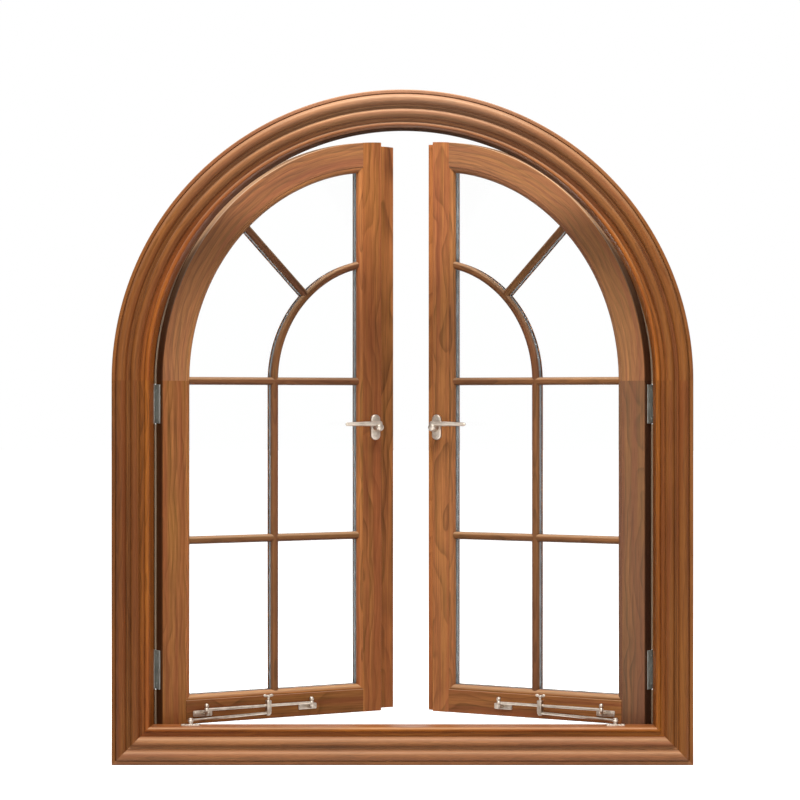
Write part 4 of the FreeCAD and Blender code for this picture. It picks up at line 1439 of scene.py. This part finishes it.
    def bars(self, width: float, back: float, front: float, rounding: float, overrun: float) -> list[Shell]:
        """Upright, two cross bars, quarter-round bar and radial bar.

        Bars that cross are sunk by a hair, so that no two faces lie in one plane.

        Args:
            width: Width of each bar.
            back: Y of the glass that the bars stand on.
            front: Y of their faces.
            rounding: Radius of their edges.
            overrun: How far they run on under the beads.

        Returns:
            One shell for each bar.
        """
        middle = (self.sight_radius + self.meeting_sight) / 2
        sink = math.copysign(self.bar_sink, back - front)
        upright, level, ring, spoke = (self.bar_section(width, back, front + sink * rank, rounding)
                                        for rank in range(4))
        left = -self.sight_radius - overrun
        right = overrun - self.meeting_sight
        base = self.sight_base - overrun
        turn = math.radians(self.spoke_angle)
        arch = ArchedRun(middle, self.ring_stations)
        slanting = StraightRun((0.0, SIZES.spring), (math.cos(turn), math.sin(turn)),
                               (-math.sin(turn), math.cos(turn)))
        arch_end = arch.along_to(np.full(ring.inset.shape, -right), np.zeros(ring.inset.shape))
        shells = [carried(upright, upright_run(-middle), base, SIZES.spring),
                  carried(ring, arch, 0.0, arch_end),
                  carried(spoke, slanting, middle, self.sight_radius + overrun)]
        return shells + [carried(level, level_run(z), left, right)
                         for z in (SIZES.spring, SIZES.spring - self.cross_bar_drop)]

    def outer_beads(self) -> list[Shell]:
        """Chamfered glazing beads round the outdoor pane, and the bars between them.

        Returns:
            Four beads and five bars.
        """
        front, back, lap = self.glass_back, SIZES.sash_back, self.glass_lap
        cut = self.outer_bead_chamfer
        bead = Section.drawn((0, front), (lap, front), (lap, back - cut), (lap - cut, back), (0, back),
                             ease=0.6)
        edge = self.sight_radius + lap
        base = self.sight_base - lap
        inner = self.meeting_sight - lap
        arch = ArchedRun(edge, self.head_stations)
        head = SIZES.spring + np.sqrt((edge - bead.inset) ** 2 - (inner + bead.inset) ** 2)
        foot = base + bead.inset
        ring = [carried(bead, upright_run(-edge), foot, SIZES.spring),
                carried(bead, arch, 0.0, arch.along_to(inner + bead.inset, bead.inset)),
                carried(bead, upright_run(-inner, -1.0), foot, head),
                carried(bead, level_run(base), bead.inset - edge, -inner - bead.inset)]
        return ring + self.bars(self.outer_bar_width, front, front + self.outer_bar_proud,
                                self.outer_bar_round, self.outer_bar_overrun)

    def build(self) -> None:
        """Makes the timber of the sash and dresses its glazing and seal."""
        for part in ("hinge_stile", "arched_rail", "bottom_rail", "meeting_stile", "outer_beads"):
            self.make(part, getattr(self, part)(), Slot.SASH, "wood")
        self.make("lip_seal", self.lip_seal(), Slot.SEAL, "rubber", replaced=False)
        inner = self.bars(self.bar_width, self.glass_front, self.glass_front - self.bar_proud,
                          self.bar_round, self.bar_overrun)
        self.make("inner_bars", inner, Slot.SASH, "wood")
        if self.side is Side.RIGHT:
            self.make("meeting_strip", self.meeting_strip(), Slot.SASH, "wood")
        else:
            dress(self.name("meeting_gasket"), self.finishes[Slot.SEAL])
        dress(self.name("glass"), self.finishes[Slot.GLASS])
        dress(self.name("spacer"), self.finishes[Slot.SPACER])


def ball(radius: float, foot: float, count: int = 13) -> list[tuple[float, float]]:
    """Profile of a ball from just above height foot to its top: (R sin q, foot + R - R cos q)."""
    q = np.linspace(0.02, np.pi - 0.02, count)
    return list(zip(radius * np.sin(q), foot + radius - radius * np.cos(q)))


def rod_profile(radius: float, length: float, ease: float) -> list[tuple[float, float]]:
    """Profile of a plain rod with eased ends."""
    return [(radius - ease, 0.0), (radius, ease), (radius, length - ease), (radius - ease, length)]


def screw(place: Sequence[float], out: Sequence[float], radius: float = 3.4) -> Shell:
    """Domed screw head with a hollow in the middle for the driver.

    Args:
        place: Point of the face that the head stands on.
        out: Direction that the head faces.
        radius: Radius of the head.

    Returns:
        The closed shell.
    """
    profile = [(radius, -0.4), (radius, 0.3), (0.92 * radius, 0.75), (0.6 * radius, 1.05),
               (0.4 * radius, 1.1), (0.34 * radius, 0.4), (0.1, 0.1)]
    return turned(profile, place, out, 18)


@dataclass
class LeverHandle:
    """Oblong plate with a round hub, and a lever that leaves the hub's upper half towards the pane."""

    sash: Sash
    height: float = 867.0
    offset: float = 28.5
    plate_width: float = 29.0
    plate_height: float = 70.0
    plate_thick: float = 8.0
    standoff: float = 22.5
    rise: float = 10.0
    root: float = 7.0
    reach: float = 104.0
    screw_rise: float = 25.0
    screw_radius: float = 3.6
    edge_round: float = 4.0
    bow: float = 4.0
    droop: float = 1.5
    root_round: float = 0.06
    tip_round: float = 0.05
    blunt: float = 0.999

    HUB = ((14.0, 0.0), (14.0, 2.6), (13.4, 3.6), (12.2, 4.4), (11.8, 9.0), (11.2, 17.0), (10.6, 23.0),
           (9.4, 26.6), (7.0, 28.6), (3.5, 29.5), (0.3, 29.7))
    SHARES = (0.0, 0.1, 0.4, 1.0)
    TALL = (15.0, 14.5, 13.2, 9.5)
    DEEP = (12.0, 11.5, 9.5, 7.0)

    def centre(self) -> tuple[float, float, float]:
        """Middle of the plate's back on the closed sash."""
        return (-self.offset, SIZES.sash_front, SIZES.bottom + self.height)

    def plate_shells(self) -> list[Shell]:
        """Plate with round ends and two screws.

        Returns:
            Plate and screws.
        """
        x, y, z = self.centre()
        outline = rounded_outline(self.plate_width, self.plate_height, self.plate_width / 2 - 0.5, 12)
        front = y - self.plate_thick
        screws = [screw((x, front, z + rise), INDOORS, self.screw_radius)
                  for rise in (-self.screw_rise, self.screw_rise)]
        return [plate(outline, (x, y, z), ACROSS, UP, INDOORS, self.plate_thick, self.edge_round), *screws]

    def lever_shells(self) -> list[Shell]:
        """Hub, and a lever drawn out from behind the spindle to its tip.

        Along the lever, with s from 0 to 1: y = face - standoff + bow s^2 and z = rise - droop s^2, and
        both ends are rounded by sqrt(1 - q^2).

        Returns:
            Hub and lever.
        """
        x, y, z = self.centre()
        face = y - self.plate_thick
        share = np.concatenate((np.linspace(0, 0.08, 8), np.linspace(0.1, 0.93, 18),
                                np.linspace(0.94, 1, 8)))
        path = np.stack((x + self.root - (self.reach + self.root) * share,
                         face - self.standoff + self.bow * share ** 2,
                         z + self.rise - self.droop * share ** 2), axis=1)
        near_root = np.clip(1 - share / self.root_round, 0, self.blunt)
        near_tip = np.clip((share - 1 + self.tip_round) / self.tip_round, 0, self.blunt)
        ends = near_root ** 2 + near_tip ** 2
        tall, deep = (np.interp(share, self.SHARES, sizes) * np.sqrt(1 - ends)
                      for sizes in (self.TALL, self.DEEP))
        return [turned(self.HUB, (x, face, z), INDOORS, 36), drawn_out(path, tall, deep)]

    def build(self) -> None:
        """Makes the plate and the lever."""
        self.sash.make("handle_plate", self.plate_shells(), Slot.NICKEL, "metal")
        self.sash.make("handle_lever", self.lever_shells(), Slot.NICKEL, "metal")


@dataclass
class SlidingStay:
    """Rod on two brackets, a clamp that slides on it, and an arm from the sill to the clamp."""

    sash: Sash
    rod_radius: float = 3.75
    rod_height: float = 128.0
    rod_standoff: float = 25.0
    post_first: float = 117.0
    post_last: float = 425.0
    post_radius: float = 4.5
    clamp_fall: float = 16.0
    arm_length: float = 248.0
    arm_radius: float = 3.5
    eye_radius: float = 8.0
    eye_thick: float = 6.0
    eye_gap: float = 0.5
    pivot_inset: float = 198.0
    pivot_depth: float = 36.0
    plate_thick: float = 3.0
    plate_edge: float = 1.0
    bracket_plate: tuple[float, float, float] = (54.0, 16.0, 3.0)
    bracket_aside: float = -1.0
    bracket_screws: tuple[float, float] = (-20.0, 18.0)
    bracket_drop: float = 12.0
    sill_plate: tuple[float, float, float] = (50.0, 18.0, 3.0)
    sill_screws: tuple[float, float] = (-17.0, 17.0)
    block_plan: tuple[float, float, float] = (13.0, 16.0, 2.5)
    block_height: float = 30.0
    block_edge: float = 2.0
    stem_rise: float = 13.5
    wing_reach: float = 14.6
    wing_rise: float = 25.6
    wing_lift: float = 2.0
    wing_bend: float = 1.6
    wing_plain: float = 0.62
    wing_round: float = 0.3801

    POST = ((3.9, 0.0), (4.5, 0.6), (4.5, 9.0), (5.4, 10.2), (5.7, 11.0), (5.7, 19.6), (5.2, 20.6),
            (3.8, 21.4), *ball(6.0, 20.5)[3:])
    STEM = ((3.5, 0.0), (3.5, 7.0), (4.6, 8.0), (5.2, 10.5), (4.6, 13.0), (2.5, 14.6), (0.2, 15.0))
    PIN = ((3.0, 0.0), (3.0, 7.0), (5.5, 7.0), (5.5, 9.2), (4.7, 10.0))
    EYE = ((3.2, 0.0), (7.4, 0.0), (8.0, 0.6), (8.0, 5.4), (7.4, 6.0), (3.2, 6.0))

    @property
    def rod_y(self) -> float:
        """Y of the rod on the closed sash."""
        return SIZES.sash_front - self.rod_standoff

    @property
    def rod_z(self) -> float:
        """Height of the rod."""
        return SIZES.bottom + self.rod_height

    @property
    def arm_z(self) -> float:
        """Height of the arm's middle."""
        return self.rod_z - self.clamp_fall - self.eye_gap - self.eye_thick / 2

    def clamp_x(self) -> float:
        """X of the clamp on the closed sash, where the arm just reaches it from the sill.

        Returns:
            Place of the clamp along X.
        """
        turn = math.radians(self.sash.angle)
        dx = SIZES.hinge_x - SIZES.half_width + self.pivot_inset
        dy = self.pivot_depth - SIZES.hinge_y
        along = dx * math.cos(turn) + dy * math.sin(turn)
        behind = dy * math.cos(turn) - dx * math.sin(turn)
        aside = self.rod_y - SIZES.hinge_y - behind
        return along + math.sqrt(self.arm_length ** 2 - aside ** 2) - SIZES.hinge_x

    def rod_shells(self) -> list[Shell]:
        """Plain round rod."""
        start = (self.post_first - SIZES.hinge_x, self.rod_y, self.rod_z)
        return [turned(rod_profile(self.rod_radius, self.post_last - self.post_first, 0.5), start, ACROSS)]

    def bracket_shells(self) -> list[Shell]:
        """Two screwed plates, each with a neck and a post with a ball on top.

        Returns:
            Plate, neck, post and two screws for each bracket.
        """
        shells = []
        front = SIZES.sash_front
        foot = self.rod_z - self.bracket_drop
        face = front - self.plate_thick
        for u in (self.post_first, self.post_last):
            x = u - SIZES.hinge_x
            shells += [plate(rounded_outline(*self.bracket_plate), (x + self.bracket_aside, front, foot),
                             ACROSS, UP, INDOORS, self.plate_thick, self.plate_edge),
                       turned(rod_profile(self.post_radius, self.rod_standoff, 0.4), (x, front, foot),
                              INDOORS),
                       turned(self.POST, (x, self.rod_y, foot - self.post_radius), UP),
                       *(screw((x + aside, face, foot), INDOORS) for aside in self.bracket_screws)]
        return shells

    def clamp_shells(self) -> list[Shell]:
        """Block on the rod with a wing screw above and the arm's pivot below.

        The wing is drawn out along z = rise + lift |s|^1.6, s from -1 to 1, with ends rounded by
        sqrt(1 - q^2).

        Returns:
            Block, stem, wing and pin.
        """
        x, y, z = self.clamp_x(), self.rod_y, self.rod_z
        low = (x, y, z - self.clamp_fall)
        span = np.linspace(-1, 1, 33)
        out = np.abs(span)
        path = np.stack((x + self.wing_reach * span, np.full(span.shape, y),
                         z + self.wing_rise + self.wing_lift * out ** self.wing_bend), axis=1)
        round_end = np.sqrt(np.clip(1 - np.clip((out - self.wing_plain) / self.wing_round, 0, 1) ** 2, 0, 1))
        tall = np.interp(out, (0, 0.3, self.wing_plain, 1), (5.0, 5.4, 7.6, 7.6))
        deep = np.interp(out, (0, 1), (5.0, 3.6))
        wing = drawn_out(path, tall * round_end, deep * round_end)
        return [plate(rounded_outline(*self.block_plan), low, ACROSS, OUTDOORS, UP, self.block_height,
                      self.block_edge),
                turned(self.STEM, (x, y, z + self.stem_rise), UP), wing, turned(self.PIN, low, DOWN)]

    def pivot(self) -> np.ndarray:
        """Point on the sill that the arm turns about, for a left sash."""
        return np.array((self.pivot_inset - SIZES.half_width, self.pivot_depth, self.arm_z))

    def arm_shells(self) -> list[Shell]:
        """Rod with a flat eye at each end, from the sill to the clamp of the open sash.

        Returns:
            Rod and two eyes.
        """
        near = self.pivot()
        far = self.sash.handed(self.sash.swung(np.array((self.clamp_x(), self.rod_y, self.arm_z))))
        ahead = (far - near) / np.linalg.norm(far - near)
        clear = self.eye_radius - 1.0
        rod = rod_profile(self.arm_radius, self.arm_length - 2 * clear, 0.3)
        eyes = [turned(self.EYE, end - (0, 0, self.eye_thick / 2), UP) for end in (near, far)]
        return [turned(rod, near + clear * ahead, ahead), *eyes]

    def sill_bracket_shells(self) -> list[Shell]:
        """Plate on the sill with a short post and the arm's pivot pin.

        Returns:
            Plate, post and two screws.
        """
        x, y, z = self.pivot()
        top = SIZES.sill_top + self.plate_thick
        half = self.eye_thick / 2 + self.eye_gap
        low, high = z - half - top, z + half - top
        post = [(6.0, -0.5), (6.0, low - 0.5), (5.4, low), (3.0, low), (3.0, high), (5.5, high),
                (5.5, high + 2.2), (4.6, high + 3.0)]
        return [plate(rounded_outline(*self.sill_plate), (x, y, SIZES.sill_top), ACROSS, OUTDOORS, UP,
                      self.plate_thick, self.plate_edge),
                turned(post, (x, y, top), UP),
                *(screw((x + aside, y, top), UP) for aside in self.sill_screws)]

    def build(self) -> None:
        """Makes the stay's five pieces; the arm and the sill bracket stay off the swinging sash."""
        for part, shells, swings in (("stay_rod", self.rod_shells(), True),
                                     ("stay_brackets", self.bracket_shells(), True),
                                     ("stay_clamp", self.clamp_shells(), True),
                                     ("stay_arm", self.arm_shells(), False),
                                     ("stay_sill_bracket", self.sill_bracket_shells(), False)):
            self.sash.make(part, shells, Slot.NICKEL, "metal", swings=swings)


@dataclass
class ButtHinges:
    """Two butt hinges: leaves on the frame with the pin, and leaves on the sash."""

    sash: Sash
    knuckle_radius: float = 6.5
    knuckle_count: int = 5
    knuckle_gap: float = 0.3
    leaf_thick: float = 2.5
    leaf_depth: float = 28.0
    screw_radius: float = 3.2

    SCREWS = ((-0.36, 0.25), (0.0, -0.2), (0.36, 0.25))

    def leaf(self, middle: float, wall: float, facing: float, first: int) -> list[Shell]:
        """One leaf with its knuckles and screws.

        Args:
            middle: Height of the hinge's middle.
            wall: X of the face that the leaf is screwed to.
            facing: 1 where the leaf faces +X and -1 where it faces -X.
            first: Number of the first knuckle that belongs to the leaf.

        Returns:
            The closed shells.
        """
        base = middle - SIZES.hinge_length / 2
        pitch = SIZES.hinge_length / self.knuckle_count
        end = SIZES.frame_depth - self.leaf_thick
        centre = (wall, end - self.leaf_depth / 2, middle)
        out = (facing, 0.0, 0.0)
        shells = [plate(rounded_outline(self.leaf_depth, SIZES.hinge_length, 1.5), centre, OUTDOORS, UP, out,
                        self.leaf_thick, 0.6)]
        tall = pitch - self.knuckle_gap
        depth = SIZES.hinge_y - end
        for step in range(first, self.knuckle_count, 2):
            foot = base + step * pitch + self.knuckle_gap / 2
            shells.append(turned(rod_profile(self.knuckle_radius, tall, 0.5),
                                 (-SIZES.hinge_x, SIZES.hinge_y, foot), UP))
            shells.append(plate(rounded_outline(depth, tall, 0.4), (wall, end + depth / 2, foot + tall / 2),
                                OUTDOORS, UP, out, self.leaf_thick, 0.3))
        shells += [screw((wall + facing * self.leaf_thick, centre[1] + side * self.leaf_depth,
                          middle + rise * SIZES.hinge_length), out, self.screw_radius)
                   for rise, side in self.SCREWS]
        return shells

    def build(self) -> None:
        """Makes the frame leaves with their pins and tips, and the sash leaves."""
        fixed, swinging = [], []
        tip = ball(5.0, -5.0)[6:]
        for middle in SIZES.hinge_middles:
            fixed += self.leaf(middle, SIZES.rebate_at - SIZES.half_width, 1.0, 0)
            for end in (-1.0, 1.0):
                foot = (-SIZES.hinge_x, SIZES.hinge_y, middle + end * SIZES.hinge_length / 2)
                fixed.append(turned(tip, foot, (0.0, 0.0, end)))
            swinging += self.leaf(middle, -SIZES.sash_radius, -1.0, 1)
        self.sash.make("hinge_frame_leaves", fixed, Slot.HINGE, "metal", swings=False)
        self.sash.make("hinge_sash_leaves", swinging, Slot.HINGE, "metal")


@dataclass
class Studio:
    """White surroundings, soft light from above and in front, and the camera."""

    lens: float = 112.3
    camera: tuple[float, float, float] = (0.1964, -6.4505, 0.9185)
    sensor: float = 36.0
    shift: float = -0.0983
    ambient_high: float = 0.46
    ambient_low: float = 0.10
    floor_glow: float = 0.86
    floor_size: float = 40.0
    floor_gap: float = 0.0005

    def background(self) -> None:
        """White to the camera and to reflections; a plain light, stronger from above, to all else."""
        world = bpy.data.worlds.new("studio")
        world.use_nodes = True
        bpy.context.scene.world = world
        nodes, links = world.node_tree.nodes, world.node_tree.links
        nodes.clear()
        rays = nodes.new("ShaderNodeLightPath")
        seen = self._either(world.node_tree, rays)
        axes = nodes.new("ShaderNodeSeparateXYZ")
        links.new(nodes.new("ShaderNodeTexCoord").outputs["Generated"], axes.inputs[0])
        sky = nodes.new("ShaderNodeMapRange")
        for socket, value in zip(sky.inputs[1:5], (-1.0, 1.0, self.ambient_low, self.ambient_high)):
            socket.default_value = value
        links.new(axes.outputs[2], sky.inputs[0])
        strength = nodes.new("ShaderNodeMix")
        links.new(sky.outputs[0], strength.inputs[2])
        strength.inputs[3].default_value = 1.0
        links.new(seen, strength.inputs[0])
        shown = nodes.new("ShaderNodeBackground")
        shown.inputs[0].default_value = (1.0, 1.0, 1.0, 1.0)
        links.new(strength.outputs[0], shown.inputs[1])
        output = nodes.new("ShaderNodeOutputWorld")
        links.new(shown.outputs[0], output.inputs[0])

    @staticmethod
    def _either(tree: bpy.types.NodeTree, rays: bpy.types.Node) -> Socket:
        """1 for a camera, glossy or transmission ray.

        Args:
            tree: Nodes that the new ones join.
            rays: Node that tells the rays apart.

        Returns:
            The last socket.
        """
        seen = rays.outputs["Is Camera Ray"]
        for name in ("Is Glossy Ray", "Is Transmission Ray"):
            either = tree.nodes.new("ShaderNodeMath")
            either.operation = "MAXIMUM"
            tree.links.new(seen, either.inputs[0])
            tree.links.new(rays.outputs[name], either.inputs[1])
            seen = either.outputs[0]
        return seen

    def floor(self) -> None:
        """Pale floor under the window, which glows to the camera but keeps the shadow."""
        corners = np.array(((-1, -1), (1, -1), (1, 1), (-1, 1))) * self.floor_size
        points = np.column_stack((corners, np.full(4, SIZES.bottom * MM - self.floor_gap)))
        mesh = bpy.data.meshes.new("floor")
        mesh.from_pydata(points, [], [[0, 1, 2, 3]])
        g = Graph("pale_floor")
        plain = g.add("BsdfDiffuse", {"Color": (0.8, 0.8, 0.8, 1.0)})
        rays = g.add("LightPath")
        glow = g.add("Emission", {"Color": (1.0, 1.0, 1.0, 1.0), "Strength":
                                  g.math("MULTIPLY", self._either(g.tree, rays), self.floor_glow)})
        both = g.add("AddShader", {0: plain.outputs[0], 1: glow.outputs[0]})
        g.tree.links.new(both.outputs[0], g.output.inputs[0])
        mesh.materials.append(g.material)
        floor = bpy.data.objects.new("floor", mesh)
        bpy.context.scene.collection.objects.link(floor)

    @staticmethod
    def lamp(name: str, place: Sequence[float], aim: Sequence[float], size: tuple[float, float],
             watts: float) -> None:
        """Adds one soft oblong lamp that looks at a point.

        Args:
            name: Name of the lamp.
            place: Where it hangs, in metres.
            aim: Point that it looks at.
            size: Width and height.
            watts: Power.
        """
        light = bpy.data.lights.new(name, "AREA")
        light.shape = "RECTANGLE"
        light.size, light.size_y = size
        light.energy = watts
        lamp = bpy.data.objects.new(name, light)
        lamp.location = place
        ahead = np.array(aim, float) - np.array(place, float)
        level = math.hypot(ahead[0], ahead[1])
        lamp.rotation_euler = (math.atan2(level, -ahead[2]), 0.0, math.atan2(-ahead[0], ahead[1]))
        bpy.context.scene.collection.objects.link(lamp)

    def build(self) -> None:
        """Sets up surroundings, lamps, camera and view transform."""
        self.background()
        self.floor()
        self.lamp("key", (-0.1, -1.7, 4.8), (0.0, 0.1, 0.8), (4.0, 1.2), 320.0)
        self.lamp("crown", (0.0, -0.45, 2.35), (0.0, -0.03, 1.7), (1.2, 0.2), 5.5)
        self.lamp("fill", (0.6, -5.4, 1.4), (0.0, 0.1, 0.8), (4.0, 2.0), 65.0)
        data = bpy.data.cameras.new("camera")
        data.lens = self.lens
        data.sensor_width = self.sensor
        data.shift_x = self.shift
        camera = bpy.data.objects.new("camera", data)
        camera.location = self.camera
        camera.rotation_euler = (math.pi / 2, 0.0, 0.0)
        bpy.context.scene.collection.objects.link(camera)
        bpy.context.scene.camera = camera
        bpy.context.scene.view_settings.view_transform = "Standard"


# Tones by member: the casing's jambs and head are drawn darker and its bottom member lighter and paler, as
# painted shade and painted light from above; the rest differ member by member.
SURROUND_TONES: dict[str, Tone] = {
    "casing_left_jamb": (-0.2, 0.0), "casing_right_jamb": (-0.12, 0.0), "casing_arch": (-0.08, 0.0),
    "casing_bottom": (0.18, 0.12), "frame_left_jamb": (-0.08, 0.0), "frame_right_jamb": (-0.2, 0.0),
    "frame_arch": (-0.1, 0.0),
}
# The left sash's beads are drawn lighter and the right sash's darker, as painted light from one side.
LEFT_TONES: dict[str, Tone] = {
    "bead": (0.18, 0.0), "hinge_stile": (-0.18, 0.0), "arched_rail": (-0.16, 0.12),
    "bottom_rail": (-0.32, 0.0), "meeting_stile": (-0.1, 0.0), "inner_bars": (-0.5, 0.06),
    "lip_seal": (0.0, 0.85),
}
RIGHT_TONES: dict[str, Tone] = {
    "bead": (-0.12, 0.0), "hinge_stile": (-0.4, 0.15), "arched_rail": (-0.1, 0.15),
    "bottom_rail": (-0.13, 0.03), "meeting_stile": (0.1, 0.05), "inner_bars": (-0.5, 0.06),
    "lip_seal": (0.0, 1.0),
}


def main() -> None:
    """Builds the stage and every assembly."""
    logging.basicConfig(level=logging.INFO, format="%(name)s: %(message)s")
    finishes = {finish.slot: finish.material() for finish in FINISHES}
    Studio().build()
    Surround(finishes, SURROUND_TONES).build()
    for sash in (Sash(Side.LEFT, angle=30.5, edge=8.0, finishes=finishes, tones=LEFT_TONES),
                 Sash(Side.RIGHT, angle=29.5, edge=0.0, finishes=finishes, tones=RIGHT_TONES)):
        sash.build()
        LeverHandle(sash).build()
        SlidingStay(sash).build()
        ButtHinges(sash).build()


if __name__ == "__main__":
    main()
